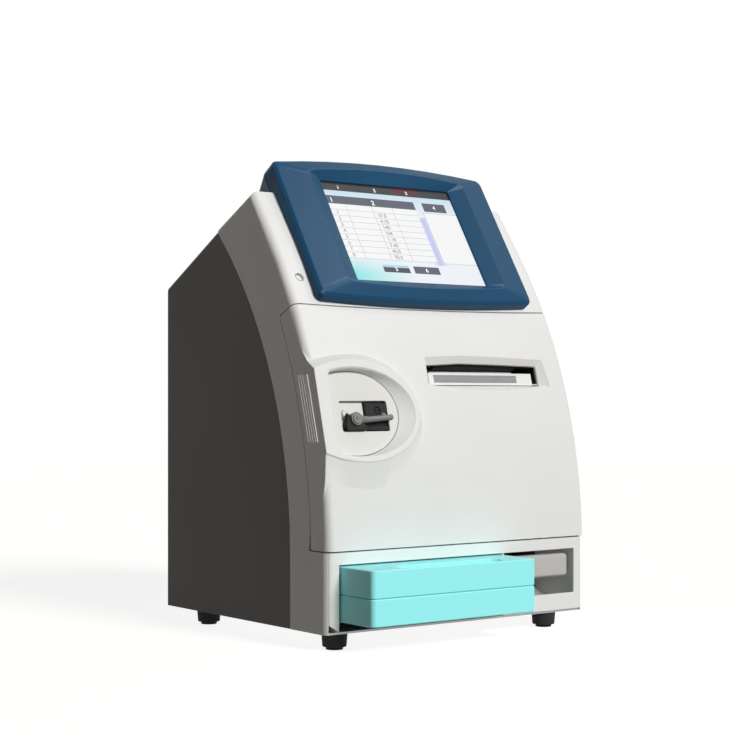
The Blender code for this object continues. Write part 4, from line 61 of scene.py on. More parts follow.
# Rounding of the pieces' edges, in millimetres
EDGES = {
    "foot_front_left": 0.4, "foot_front_right": 0.4, "foot_rear_left": 0.4, "foot_rear_right": 0.4,
    "door_catch": 0.3, "display_bezel": 0.7, "display_rear_housing": 0.5, "standby_button": 0.1,
    "sampler_faceplate": 0.4, "sampler_carriage": 0.4, "inlet_adaptor": 0.4, "sampler_body": 0.3,
    "sample_inlet": 0.35, "clamp_knob": 0.15, "printer_front": 0.3, "printer_cover": 0.25,
    "printer_window": 0.15, "printer_body": 0.2, "pack_upper_shell": 0.5, "pack_lower_shell": 0.5,
    "pack_manifold": 0.2, "bay_connector": 0.3, "pack_latch": 0.3, "pump_housing": 0.4,
    "pump_motor": 0.4, "pump_rotor": 0.2, "electrode_block": 0.3, "electrode_1": 0.3,
    "electrode_2": 0.3, "electrode_3": 0.3, "electrode_4": 0.3, "fan_frame": 0.3,
    "power_inlet": 0.3, "switch_frame": 0.3, "power_switch": 0.3, "io_ports": 0.2,
}


# Shader maths
class Value:
    """A node socket that takes part in ordinary arithmetic."""

    def __init__(self, finish, socket):
        self.finish = finish
        self.socket = socket

    def _math(self, operation, first, second=None):
        node = self.finish.node("ShaderNodeMath", {"operation": operation})
        for place, item in enumerate((first, second)):
            if item is not None:
                self.finish.feed(node.inputs[place], item)
        return Value(self.finish, node.outputs[0])

    def __add__(self, other):
        return self._math("ADD", self, other)

    def __radd__(self, other):
        return self._math("ADD", other, self)

    def __sub__(self, other):
        return self._math("SUBTRACT", self, other)

    def __rsub__(self, other):
        return self._math("SUBTRACT", other, self)

    def __mul__(self, other):
        return self._math("MULTIPLY", self, other)

    def __rmul__(self, other):
        return self._math("MULTIPLY", other, self)

    def __gt__(self, other):
        return self._math("GREATER_THAN", self, other)

    def __lt__(self, other):
        return self._math("LESS_THAN", self, other)

    def __abs__(self):
        return self._math("ABSOLUTE", self)

    def modulo(self, other):
        return self._math("FLOORED_MODULO", self, other)

    def clamped(self):
        value = self._math("ADD", self, 0.0)
        value.socket.node.use_clamp = True
        return value


class Finish:
    """One procedural material and the nodes in it."""

    def __init__(self, name, **fixed):
        self.material = bpy.data.materials.new(name)
        self.material.use_nodes = True
        self.tree = self.material.node_tree
        self.shader = self.tree.nodes["Principled BSDF"]
        self.output = self.tree.nodes["Material Output"]
        for socket, value in fixed.items():
            self.shader.inputs[socket.replace("_", " ")].default_value = value
        self.place = self.node("ShaderNodeTexCoord").outputs["Object"]

    def feed(self, socket, item):
        """Put a number, a colour, a Value or another socket into a socket."""
        if isinstance(item, Value):
            item = item.socket
        if isinstance(item, bpy.types.NodeSocket):
            self.tree.links.new(item, socket)
        else:
            socket.default_value = item

    def node(self, kind, settings=None, inputs=None):
        """Make a node, set it up first and then fill its sockets."""
        made = self.tree.nodes.new(kind)
        for name, value in (settings or {}).items():
            setattr(made, name, value)
        for name, value in (inputs or {}).items():
            self.feed(made.inputs[name], value)
        return made

    def noise(self, scale, detail=2.0, stretch=None):
        """Noise over the piece, stretched along an axis if asked."""
        place = self.place
        if stretch:
            place = self.node("ShaderNodeMapping", None, {"Vector": place, "Scale": stretch}).outputs[0]
        made = self.node("ShaderNodeTexNoise", None,
                         {"Vector": place, "Scale": scale, "Detail": detail})
        return Value(self, made.outputs["Fac"])

    def along(self, axis, origin, unit=MM):
        """Distance of a point from a plane through origin, in units."""
        from_origin = self.node("ShaderNodeVectorMath", {"operation": "SUBTRACT"},
                                {0: self.place, 1: tuple(origin)}).outputs[0]
        dot = self.node("ShaderNodeVectorMath", {"operation": "DOT_PRODUCT"},
                        {0: from_origin, 1: tuple(axis)}).outputs["Value"]
        return Value(self, dot) * (1.0 / unit)

    def mixed(self, factor, first, second):
        """Blend two colours."""
        made = self.node("ShaderNodeMix", {"data_type": "RGBA"})
        self.feed(made.inputs[0], factor)
        self.feed(made.inputs[6], first)
        self.feed(made.inputs[7], second)
        return made.outputs[2]

    def bump(self, height, distance, strength=1.0):
        """Relief of a height between 0 and 1."""
        made = self.node("ShaderNodeBump", None,
                         {"Height": height, "Distance": distance, "Strength": strength})
        self.feed(self.shader.inputs["Normal"], made.outputs[0])

    def colour(self, item):
        self.feed(self.shader.inputs["Base Color"], item)

    def roughness(self, item):
        self.feed(self.shader.inputs["Roughness"], item)


# Scale of the patterns in the finishes, and the board's tracks in millimetres
MOULD_CLOUD = 9.0
MOULD_GRAIN = 1400.0
MOULD_DETAIL = 3.0
BRUSH_SCALE = 900.0
BRUSH_CLOUD = 14.0
LINES_ACROSS = (0.04, 1.0, 1.0)
LINES_BACK = (1.0, 0.05, 1.0)
LINES_UP = (1.0, 1.0, 0.1)
FINE_DETAIL = 4.0
PIT_SCALE = 700.0
DUST_SCALE = 60.0
FIBRE_SCALE = 1800.0
FIBRE_STRETCH = (1.0, 0.3, 0.3)
WEAVE_SCALE = 35.0
WEAVE_BEND = 12.0
TRACK_PITCH = 2.54
TRACK_WIDTH = 0.7
TRACK_SHARE = 0.5
CROSS_SHARE = 0.47
WAVE_SCALE = 60.0
PIXEL_SCALE = 2600.0
GLASS_GRAIN = 300.0


def rgba(colour):
    """Colour with full opacity."""
    return tuple(colour) + (1.0,)


def shade(colour, factor):
    """Scale a colour's lightness."""
    return tuple(min(1.0, part * factor) for part in colour[:3]) + (1.0,)


def moulded(name, colour, rough, grain=MOULD_GRAIN, relief=0.02 * MM, uneven=0.04, **fixed):
    """Injection moulded plastic with a fine spark-eroded grain."""
    finish = Finish(name, **fixed)
    slow = finish.noise(MOULD_CLOUD, MOULD_DETAIL)
    finish.colour(finish.mixed(slow, shade(colour, 1.0 - uneven), shade(colour, 1.0 + uneven)))
    fine = finish.noise(grain, MOULD_DETAIL)
    finish.roughness(rough - 0.06 + 0.08 * slow + 0.06 * fine)
    finish.bump(fine, relief)
    return finish.material


def brushed(name, colour, rough, stretch, relief=0.01 * MM, **fixed):
    """Sheet metal with fine lines along the rolling direction."""
    finish = Finish(name, Metallic=1.0, **fixed)
    lines = finish.noise(BRUSH_SCALE, FINE_DETAIL, stretch)
    cloud = finish.noise(BRUSH_CLOUD, MOULD_DETAIL)
    finish.colour(finish.mixed(lines, shade(colour, 0.86), shade(colour, 1.1)))
    finish.roughness(rough - 0.1 + 0.14 * lines + 0.1 * cloud)
    finish.bump(lines, relief)
    return finish.material


def rubbery(name, colour):
    """Matte rubber with a dusty, slightly pitted skin."""
    finish = Finish(name, Specular_IOR_Level=0.3)
    pits = finish.noise(PIT_SCALE, FINE_DETAIL)
    dust = finish.noise(DUST_SCALE, FINE_DETAIL)
    finish.colour(finish.mixed(dust, shade(colour, 0.8), shade(colour, 1.9)))
    finish.roughness(0.72 + 0.12 * pits)
    finish.bump(pits, 0.05 * MM)
    return finish.material


def paper_finish(name, colour):
    """Uncoated thermal paper with fine fibres."""
    finish = Finish(name)
    fibre = finish.noise(FIBRE_SCALE, FINE_DETAIL, FIBRE_STRETCH)
    finish.colour(finish.mixed(fibre, shade(colour, 0.94), shade(colour, 1.03)))
    finish.roughness(0.72 + 0.1 * fibre)
    finish.bump(fibre, 0.015 * MM)
    return finish.material


def board_finish(name, colour):
    """Circuit board lacquer over copper tracks on a fine grid."""
    finish = Finish(name, Coat_Roughness=0.2)
    up = finish.along((0, 0, 1), (0, 0, 0))
    back = finish.along((0, 1, 0), (0, 0, 0))
    weave = finish.noise(WEAVE_SCALE)
    tracks = ((up + WEAVE_BEND * weave).modulo(TRACK_PITCH) < TRACK_WIDTH) * (weave > TRACK_SHARE)
    cross = ((back + WEAVE_BEND * weave).modulo(TRACK_PITCH) < TRACK_WIDTH) * (weave < CROSS_SHARE)
    copper = (tracks + cross).clamped()
    finish.colour(finish.mixed(copper, colour, shade(colour, 1.9)))
    finish.roughness(0.42 - 0.12 * copper)
    finish.bump(copper, 0.03 * MM)
    return finish.material


def clear_finish(name, colour, rough, through):
    """Smoky clear plastic with faint moulding waves."""
    finish = Finish(name, Transmission_Weight=through, IOR=1.49)
    waves = finish.noise(WAVE_SCALE)
    finish.colour(finish.mixed(waves, shade(colour, 0.95), shade(colour, 1.05)))
    finish.roughness(rough + 0.06 * waves)
    finish.bump(waves, 0.02 * MM, 0.4)
    return finish.material


# Picture on the screen: shares of its width from the left and of its height from the top
SCREEN_HALF = 84.0
SCREEN_LOW = -55.0
SCREEN_HIGH = 68.7
TABLE_TOP_SHARE = 0.216
TABLE_END_SHARE = 0.768
TABLE_RIGHT_SHARE = 0.686
TABLE_ROWS = 9
COLUMN_SHARES = (0.135, 0.334, 0.494)
LINE_SHARE = 0.0028
TABLE_HEAD_SHARE = 0.134
STATUS_SHARE = 0.079
SIDE_SHEET = (0.735, 2.0, 0.241, 0.776)
TAB = (0.55, 0.76, -1.0, 0.066)
UPPER_KEY = (0.752, 0.935, 0.136, 0.226)
RIGHT_KEY = (0.475, 0.675, 0.822, 0.895)
LEFT_KEY = (0.24, 0.44, 0.822, 0.895)
LEFT_KEY_LIT = (0.24, 0.44, 0.822, 0.845)
LILAC_MIDDLE = 0.71
LILAC_AREA = (0.6, 0.9, 0.3, 0.8)
RULE_COLOUR = (0.30, 0.33, 0.36, 1.0)
STATUS_COLOUR = (0.030, 0.030, 0.030, 1.0)
TAB_COLOUR = (0.10, 0.012, 0.012, 1.0)
GLASS_COLOUR = (0.02, 0.022, 0.025, 1.0)
WHITE = (1.0, 1.0, 1.0, 1.0)

# Figures, and the painted shade crescent on the standby key, in millimetres; rows say words, across, down
# and height
DIMPLE_UP = (0.0, 0.5046, 0.8634)
DIMPLE_RADIUS = 4.3
DIMPLE_ASIDE = 0.5
DIMPLE_PAINTED_LIT = 0.98
FIGURE_DEPTH = 2.2
FIGURE_HIGH = 6.4
FIGURE_STROKE = 0.16
FIGURE_INK = (0.02, 0.02, 0.03)
FIGURE_LIGHT = (0.8, 0.8, 0.82)
FIRST_ROW = 1.8
LABEL_SHARE = 0.045
VALUE_SHARE = 0.36
ROW_VALUES = ("37.0", "4.10", "140", "104", "1.18", "7.40", "40.0", "95.0")
LIGHT_FIGURES = (
    ("1", 0.03, 0.202, 8.0), ("2", 0.345, 0.202, 8.0),
    ("1", 0.12, 0.06, 6.0), ("2", 0.4, 0.06, 6.0), ("3", 0.65, 0.06, 6.0),
    ("4", 0.832, 0.197, 6.5), ("5", 0.33, 0.876, 6.5), ("6", 0.565, 0.876, 6.5),
)


class Picture:
    """Rectangles of plain colour, laid over each other in screen shares."""

    def __init__(self, finish, ground):
        self.finish = finish
        self.sheet = ground
        across = DISPLAY.to_3x3() @ Vector((1, 0, 0))
        up = DISPLAY.to_3x3() @ Vector((0, 0, 1))
        self.across = (finish.along(across, DISPLAY_AT) + SCREEN_HALF) * (0.5 / SCREEN_HALF)
        height = SCREEN_HIGH - SCREEN_LOW
        self.down = (SCREEN_HIGH - finish.along(up, DISPLAY_AT)) * (1.0 / height)

    def inside(self, left, right, top, low):
        """1 inside a rectangle and 0 outside it."""
        wide = (self.across > left) * (self.across < right)
        return wide * (self.down > top) * (self.down < low)

    def lay(self, mask, colour):
        self.sheet = self.finish.mixed(mask, self.sheet, colour)


def screen_finish(name, settings):
    """Lit liquid crystal panel behind glass."""
    finish = Finish(name, Specular_IOR_Level=0.05)
    view = Picture(finish, rgba(settings.screen_paper))
    sky = (1.0 - view.down * 3.2).clamped()
    view.lay(sky * 0.75, rgba(settings.screen_sky))
    corner = ((1.0 - view.across * 2.1) * (view.down * 5.0 - 3.6).clamped()).clamped()
    view.lay(corner, rgba(settings.screen_tint))
    strip = (1.0 - abs(view.across - LILAC_MIDDLE) * 16.0).clamped() * view.inside(*LILAC_AREA)
    view.lay(strip * 0.7, rgba(settings.screen_lilac))
    header = rgba(settings.screen_header)
    left, right, top, low = SIDE_SHEET
    view.lay(view.inside(*SIDE_SHEET), RULE_COLOUR)
    view.lay(view.inside(left + LINE_SHARE, right, top + LINE_SHARE, low - LINE_SHARE), WHITE)
    view.lay(view.inside(-1.0, TABLE_RIGHT_SHARE, TABLE_TOP_SHARE, TABLE_END_SHARE), WHITE)
    row = (TABLE_END_SHARE - TABLE_TOP_SHARE) / TABLE_ROWS
    rules = (view.down - TABLE_TOP_SHARE).modulo(row) < LINE_SHARE
    for share in COLUMN_SHARES:
        rules = rules + (abs(view.across - share) < LINE_SHARE * 0.4)
    table = view.inside(-1.0, TABLE_RIGHT_SHARE + LINE_SHARE, TABLE_TOP_SHARE, TABLE_END_SHARE + LINE_SHARE)
    view.lay(rules.clamped() * table, RULE_COLOUR)
    view.lay(view.inside(-1.0, TABLE_RIGHT_SHARE, TABLE_HEAD_SHARE, TABLE_TOP_SHARE), header)
    view.lay(view.inside(*UPPER_KEY), header)
    view.lay(view.inside(*RIGHT_KEY), header)
    view.lay(view.inside(*LEFT_KEY), shade(header, 0.5))
    view.lay(view.inside(*LEFT_KEY_LIT), rgba(settings.screen_sky))
    view.lay(view.down < STATUS_SHARE, STATUS_COLOUR)
    view.lay(view.inside(*TAB), TAB_COLOUR)
    finish.colour(GLASS_COLOUR)
    finish.feed(finish.shader.inputs["Emission Color"], view.sheet)
    finish.shader.inputs["Emission Strength"].default_value = settings.screen_glow
    finish.roughness(0.3 + 0.05 * finish.noise(GLASS_GRAIN))
    return finish.material


def painted_dimple_shade_finish(name, colour, centre):
    """White moulding with painted shade: a dark crescent stands in for the shaded wall of the standby key's
    recess.
    """
    finish = Finish(name, Specular_IOR_Level=0.3)
    across = finish.along((1, 0, 0), centre)
    up = finish.along(DIMPLE_UP, centre)
    whole = (across * across + up * up) < DIMPLE_RADIUS ** 2
    aside = across + DIMPLE_ASIDE * DIMPLE_RADIUS
    below = up + DIMPLE_ASIDE * DIMPLE_RADIUS
    lit = (aside * aside + below * below) < (DIMPLE_PAINTED_LIT * DIMPLE_RADIUS) ** 2
    # Painted shade: the part of the key's circle outside the offset lit circle is darkened, as if in shade
    shaded = whole * (1.0 - lit)
    finish.colour(finish.mixed(shaded, rgba(colour), shade(colour, 0.28)))
    finish.roughness(0.42 + 0.06 * finish.noise(MOULD_GRAIN))
    return finish.material


def glow_finish(name, colour):
    """Ink of the figures on the lit screen, a little uneven as pixels are."""
    finish = Finish(name, Roughness=0.3)
    grain = finish.noise(PIXEL_SCALE, 1.0)
    finish.feed(finish.shader.inputs["Emission Color"],
                finish.mixed(grain, shade(colour, 0.9), shade(colour, 1.1)))
    finish.shader.inputs["Emission Strength"].default_value = 1.0
    finish.shader.inputs["Base Color"].default_value = (0.01, 0.01, 0.01, 1.0)
    return finish.material


# Mesh work
WELD = 0.002 * MM
FLAT = math.radians(0.4)
SHARP = math.radians(30.0)


def finish_mesh(name, shape, material, body, edge=0.0, segments=2):
    """Turn a bmesh into a smooth shaded piece that rides on a body."""
    mesh = bpy.data.meshes.new(name)
    shape.to_mesh(mesh)
    shape.free()
    mesh.materials.clear()
    mesh.materials.append(material)
    for face in mesh.polygons:
        face.use_smooth = True
        face.material_index = 0
    mesh.set_sharp_from_angle(angle=SHARP)
    piece = bpy.data.objects.new(name, mesh)
    bpy.context.scene.collection.objects.link(piece)
    if edge:
        bevel = piece.modifiers.new("edge", "BEVEL")
        bevel.width = edge
        bevel.segments = segments
        bevel.limit_method = "ANGLE"
        bevel.angle_limit = SHARP
        bevel.use_clamp_overlap = False
        weighted = piece.modifiers.new("normals", "WEIGHTED_NORMAL")
        weighted.keep_sharp = True
    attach(piece, body)
    return piece


def skin(node, material, edge=None, segments=2):
    """Weld a copy of a solid, soften its edges and show it in its place."""
    if edge is None:
        edge = EDGES.get(node, 0.0) * MM
    shape = bmesh.new()
    shape.from_mesh(frame["nodes"][node].data)
    bmesh.ops.remove_doubles(shape, verts=shape.verts, dist=WELD)
    bmesh.ops.dissolve_limit(shape, angle_limit=FLAT, verts=shape.verts, edges=shape.edges)
    body = next(name for name, nodes in frame["record"]["behaviour"]["bodies"].items() if node in nodes)
    piece = finish_mesh(node + "_finished", shape, material, body, edge, segments)
    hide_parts(node)


# Satin strips that paint highlights on the ribs of the door's finger grip, in millimetres, and the arc of
# the case's front
GRIP_SIDE = -164.9
GRIP_LOW = 196.5
GRIP_HIGH = 260.5
GRIP_FIRST = 5.1
GRIP_PITCH = 3.9
GRIP_EDGE = 0.45
GRIP_EDGE_DEEP = 0.7
GRIP_FRONT_SHARE = 2.2
GRIP_LINES = 5
GRIP_HIGHLIGHT_SATIN = (0.80, 0.79, 0.78)
CASE_FRONT = -123.0
ARC_RADIUS = 543.0
ARC_LEVEL = 82.0
ARC_PROUD = 2.9


def case_front(level):
    """Depth of the case's curved front at a height, in millimetres."""
    return CASE_FRONT + ARC_RADIUS - math.sqrt(ARC_RADIUS ** 2 - (level - ARC_LEVEL) ** 2) - ARC_PROUD


# Places on the back, in millimetres: x and z, and for the sockets run, half width and half height
PANEL_BACK = 170.5
FLUSH_BACK = 172.8
INLET_AT = (110.0, 120.0)
PORTS_AT = (-60.0, 120.0)
FAN_AT = (-70.0, 250.0)
SOCKETS = ((-31.7, 10.6, 7.2), (-5.8, 6.7, 6.0), (12.5, 6.7, 6.0), (33.6, 8.6, 7.4))
SOCKET_DEPTHS = (162.0, 169.2)
CONTACT_DEPTHS = (163.0, 168.8)
CONTACT_HALF = 0.32
INLET_PINS = ((-7.0, 0.0), (0.0, 2.75), (7.0, 0.0))
PIN_DEPTHS = (153.0, 168.9)
PIN_HALF_WIDE = 1.3
PIN_HALF_HIGH = 2.3
PANEL_SCREW_SIDE = 153.0
PANEL_SCREW_LEVELS = (24.0, 130.0, 236.0, 340.0)
PANEL_SCREW_INNER = 52.0
GUARD_ORBIT = 47.0
INLET_SCREW_RUN = 17.0
BRASS = (0.62, 0.42, 0.16)
SCREW_STEEL = (0.62, 0.62, 0.62)


class Fitting:
    """Small piece that is put together from blocks, drawn bars and turned forms."""

    def __init__(self):
        self.shape = bmesh.new()

    def block(self, low, high, soften=0.0):
        """Box between two corners, in millimetres."""
        low, high = Vector(low) * MM, Vector(high) * MM
        size = high - low
        matrix = Matrix.Translation((low + high) / 2.0) @ Matrix.Diagonal((*size, 1.0))
        verts = bmesh.ops.create_cube(self.shape, size=1.0, matrix=matrix)["verts"]
        if soften:
            edges = list({edge for vert in verts for edge in vert.link_edges})
            bmesh.ops.bevel(self.shape, geom=edges, offset=soften * MM, segments=2, profile=0.5,
                            affect="EDGES")

    def prism(self, outline, left, right):
        """Outline of depths and heights, drawn out from left to right, all in millimetres."""
        near = [self.shape.verts.new(Vector((left, y, z)) * MM) for y, z in outline]
        far = [self.shape.verts.new(Vector((right, y, z)) * MM) for y, z in outline]
        self.shape.faces.new(near)
        self.shape.faces.new(far[::-1])
        for step in range(len(outline)):
            after = (step + 1) % len(outline)
            self.shape.faces.new((near[step], far[step], far[after], near[after]))

    def turned(self, profile, centre, axis, sides=20):
        """Form of revolution; the profile gives radius and height above the centre, in millimetres."""
        turn = Vector((0.0, 0.0, 1.0)).rotation_difference(Vector(axis)).to_matrix().to_4x4()
        place = Matrix.Translation(Vector(centre) * MM) @ turn
        rings = []
        for radius, height in profile:
            if radius == 0.0:
                rings.append([self.shape.verts.new(place @ Vector((0.0, 0.0, height * MM)))])
                continue
            ring = []
            for step in range(sides):
                angle = 2.0 * math.pi * step / sides
                point = Vector((radius * math.cos(angle), radius * math.sin(angle), height)) * MM
                ring.append(self.shape.verts.new(place @ point))
            rings.append(ring)
        for lower, upper in zip(rings, rings[1:]):
            for step in range(sides):
                after = (step + 1) % sides
                corners = [lower[step % len(lower)], lower[after % len(lower)],
                           upper[after % len(upper)], upper[step % len(upper)]]
                self.shape.faces.new(list(dict.fromkeys(corners)))

    def finish(self, name, material, body, slot):
        bmesh.ops.recalc_face_normals(self.shape, faces=self.shape.faces)
        finish_mesh(name, self.shape, material, body)


BACKWARD = (0.0, 1.0, 0.0)
SCREW_HEAD = ((0.0, -0.3), (2.6, -0.3), (2.6, 0.5), (2.1, 1.15), (1.35, 1.3), (1.2, 0.4), (0.0, 0.4))
FLAT_HEAD = ((0.0, -0.6), (2.5, -0.6), (2.5, 0.0), (2.3, 0.12), (1.25, 0.12), (1.1, -0.4), (0.0, -0.4))


def screws(name, places, material, profile):
    """Socket screws on the back, one in each place."""
    heads = Fitting()
    for place in places:
        heads.turned(profile, place, BACKWARD)
    heads.finish(name, material, "case", "sheet_steel")


def figures(name, rows, material):
    """Plain numbers just in front of the screen: words, share across, share down and height in mm."""
    shape = bmesh.new()
    for words, across, down, high in rows:
        curve = bpy.data.curves.new("figure", "FONT")
        curve.body = words
        curve.size = high * MM
        curve.offset = FIGURE_STROKE * MM
        holder = bpy.data.objects.new("figure", curve)
        mesh = bpy.data.meshes.new_from_object(holder)
        x = (2.0 * across - 1.0) * SCREEN_HALF
        z = SCREEN_HIGH - down * (SCREEN_HIGH - SCREEN_LOW)
        place = Matrix.Translation(Vector((x, FIGURE_DEPTH, z)) * MM)
        mesh.transform(DISPLAY @ place @ Matrix.Rotation(math.radians(90.0), 4, "X"))
        shape.from_mesh(mesh)
        bpy.data.objects.remove(holder)
        bpy.data.curves.remove(curve)
        bpy.data.meshes.remove(mesh)
    finish_mesh(name, shape, material, "case")


# Sizes and colours a user would change
def colour_prop(name, description, default):
    return bpy.props.FloatVectorProperty(name=name, description=description, subtype="COLOR",
                                         size=3, min=0.0, max=1.0, default=default)


def length_prop(name, description, default):
    return bpy.props.FloatProperty(name=name, description=description, default=default,
                                   min=0.0, subtype="DISTANCE", unit="LENGTH", precision=5)


class AnalyzerCaseSettings(bpy.types.PropertyGroup):
    """Casing sizes and colours."""
    edge: length_prop("Edge softness", "Rounding on the moulded edges", 0.4 * MM)
    white: colour_prop("White shell", "Front mouldings and door", (0.80, 0.80, 0.785))
    charcoal: colour_prop("Charcoal shell", "Rear cover", (0.047, 0.044, 0.039))
    rubber: colour_prop("Rubber", "Feet and platen", (0.015, 0.015, 0.015))
    steel: colour_prop("Steel", "Sheet metal and pins", (0.40, 0.41, 0.42))


class AnalyzerScreenSettings(bpy.types.PropertyGroup):
    """Display colours."""
    bezel: colour_prop("Bezel", "Display housing", (0.009, 0.068, 0.150))
    screen_paper: colour_prop("Screen paper", "Plain part of the picture", (0.93, 0.96, 1.0))
    screen_sky: colour_prop("Screen sky", "Tint at the top", (0.42, 0.72, 0.90))
    screen_tint: colour_prop("Screen tint", "Tint at the lower left", (0.25, 0.84, 0.84))
    screen_lilac: colour_prop("Screen lilac", "Tint beside the table", (0.40, 0.45, 0.92))
    screen_header: colour_prop("Screen bars", "Header bar and buttons", (0.10, 0.11, 0.15))
    screen_glow: bpy.props.FloatProperty(name="Screen glow", description="Strength of the picture",
                                         default=0.86, min=0.0)


class AnalyzerInsideSettings(bpy.types.PropertyGroup):
    """Colours of the fittings."""
    teal: colour_prop("Reagent pack", "Pack shells", (0.34, 0.96, 0.97))
    pale: colour_prop("Pale plastic", "Port plate and manifold", (0.72, 0.72, 0.69))
    latch: colour_prop("Latch grey", "Paddle beside the pack", (0.50, 0.48, 0.47))
    lever: colour_prop("Lever grey", "Sampler lever", (0.20, 0.20, 0.195))
    black: colour_prop("Black plastic", "Sampler block and printer", (0.016, 0.016, 0.0155))
    smoke: colour_prop("Printer window", "Smoky window over the paper", (0.36, 0.39, 0.39))
    board: colour_prop("Board", "Circuit board", (0.02, 0.16, 0.07))
    paper: colour_prop("Paper", "Printer roll", (0.85, 0.85, 0.82))


class AnalyzerStageSettings(bpy.types.PropertyGroup):
    """Floor, lamps and camera."""
    floor: length_prop("Floor size", "Side of the floor sheet", 8.0)
    key: bpy.props.FloatProperty(name="Key lamp", description="Strength of the main lamp", default=2.75)
    sheen: bpy.props.FloatProperty(name="Softbox", description="Power of the lamp whose sheen is seen",
                                   default=11.0, unit="POWER")
    fill: bpy.props.FloatProperty(name="Surround", description="Light from all round", default=0.093)


class AnalyzerPiece:
    """What the operators share."""
    bl_options = {"REGISTER"}
    finishes = {}

    @classmethod
    def finish(cls, name, make):
        """Make a finish once and keep it for the other pieces."""
        if name not in cls.finishes:
            cls.finishes[name] = make()
        return cls.finishes[name]


def white_finish(context):
    colour = context.scene.analyzer_case.white
    return AnalyzerPiece.finish("white", lambda: moulded(
        "white_moulding", colour, 0.46, Specular_IOR_Level=0.3))


def charcoal_finish(context):
    colour = context.scene.analyzer_case.charcoal
    return AnalyzerPiece.finish("charcoal", lambda: moulded(
        "charcoal_moulding", colour, 0.58, grain=900.0, relief=0.04 * MM, uneven=0.1,
        Specular_IOR_Level=0.3))


def bezel_finish(context):
    colour = context.scene.analyzer_screen.bezel
    return AnalyzerPiece.finish("bezel", lambda: moulded(
        "blue_lacquer", colour, 0.37, grain=1600.0, relief=0.006 * MM, uneven=0.05,
        Specular_IOR_Level=0.12))


def steel_finish(context):
    colour = context.scene.analyzer_case.steel
    return AnalyzerPiece.finish("steel", lambda: brushed("zinc_sheet", colour, 0.5, LINES_ACROSS))


def rubber_finish(context):
    colour = context.scene.analyzer_case.rubber
    return AnalyzerPiece.finish("rubber", lambda: rubbery("foot_rubber", colour))


def plain_finish(context, key, rough=0.45, **fixed):
    colour = getattr(context.scene.analyzer_inside, key)
    shine = 0.15 if key == "black" else 0.4
    return AnalyzerPiece.finish(key, lambda: moulded(
        key + "_moulding", colour, rough, Specular_IOR_Level=shine, **fixed))


class ANALYZER_OT_casing(AnalyzerPiece, bpy.types.Operator):
    """Case mouldings, back panel, floor pan and feet"""
    bl_idname = "analyzer.casing"
    bl_label = "Casing"

    def execute(self, context):
        edge = context.scene.analyzer_case.edge
        white = white_finish(context)
        skin("front_frame", white, edge)
        skin("bay_surround", white, edge)
        skin("rear_cover", charcoal_finish(context), edge)
        steel = steel_finish(context)
        for node in ("rear_panel", "base_pan", "bay_tray", "inner_bulkhead", "fan_guard"):
            skin(node, steel)
        for node in ("foot_front_left", "foot_front_right", "foot_rear_left", "foot_rear_right"):
            skin(node, rubber_finish(context))
        return {"FINISHED"}


class ANALYZER_OT_door(AnalyzerPiece, bpy.types.Operator):
    """Front door with its port ring and grip, its pins and its catch"""
    bl_idname = "analyzer.door"
    bl_label = "Door"

    def execute(self, context):
        skin("front_door", white_finish(context), context.scene.analyzer_case.edge)
        self.grip_edges()
        steel = steel_finish(context)
        for node in ("hinge_pin_upper", "hinge_pin_lower", "catch_strike"):
            skin(node, steel)
        skin("door_catch", plain_finish(context, "black"))
        return {"FINISHED"}

    def grip_edges(self):
        """Satin metal strips that paint highlights on the edges of the grip's ribs, the widest in front."""
        edges = Fitting()
        for step in range(GRIP_LINES):
            ahead = GRIP_FIRST + GRIP_PITCH * step
            wide = GRIP_EDGE * (GRIP_FRONT_SHARE if step == 0 else 1.0)
            low = case_front(GRIP_LOW) + ahead
            high = case_front(GRIP_HIGH) + ahead
            outline = [(low, GRIP_LOW), (low + wide, GRIP_LOW), (high + wide, GRIP_HIGH), (high, GRIP_HIGH)]
            edges.prism(outline, GRIP_SIDE, GRIP_SIDE + GRIP_EDGE_DEEP)
        # Painted highlight: the satin strips reflect the white surround and stand in for light on the rib
        # edges
        satin = brushed("grip_satin", GRIP_HIGHLIGHT_SATIN, 0.3, LINES_UP)
        edges.finish("grip_edges", satin, "door", "sheet_steel")


class ANALYZER_OT_display(AnalyzerPiece, bpy.types.Operator):
    """Display bezel, its rear housing, the lit screen and the standby button"""
    bl_idname = "analyzer.display"
    bl_label = "Display"

    def execute(self, context):
        bezel = bezel_finish(context)
        skin("display_bezel", bezel, segments=3)
        skin("display_rear_housing", bezel)
        glass = screen_finish("lit_screen", context.scene.analyzer_screen)
        skin("display_glass", glass)
        self.numbers()
        skin("lcd_module", steel_finish(context))
        points = [vert.co for vert in frame["nodes"]["standby_button"].data.vertices]
        centre = sum(points, Vector()) / len(points)
        # The standby button's finish has a crescent of painted shade on it
        dimple = painted_dimple_shade_finish("standby_dimple", context.scene.analyzer_case.white, centre)
        skin("standby_button", dimple)
        return {"FINISHED"}

    def numbers(self):
        """Row numbers and values in the table, and numbers on the bars and keys."""
        row = (TABLE_END_SHARE - TABLE_TOP_SHARE) / TABLE_ROWS
        dark = []
        for index, value in enumerate(ROW_VALUES):
            down = TABLE_TOP_SHARE + row * (index + FIRST_ROW)
            dark.append((str(index + 1), LABEL_SHARE, down, FIGURE_HIGH))
            dark.append((value, VALUE_SHARE, down, FIGURE_HIGH))
        figures("screen_figures_dark", dark, glow_finish("dark_figures", FIGURE_INK))
        figures("screen_figures_light", LIGHT_FIGURES, glow_finish("light_figures", FIGURE_LIGHT))


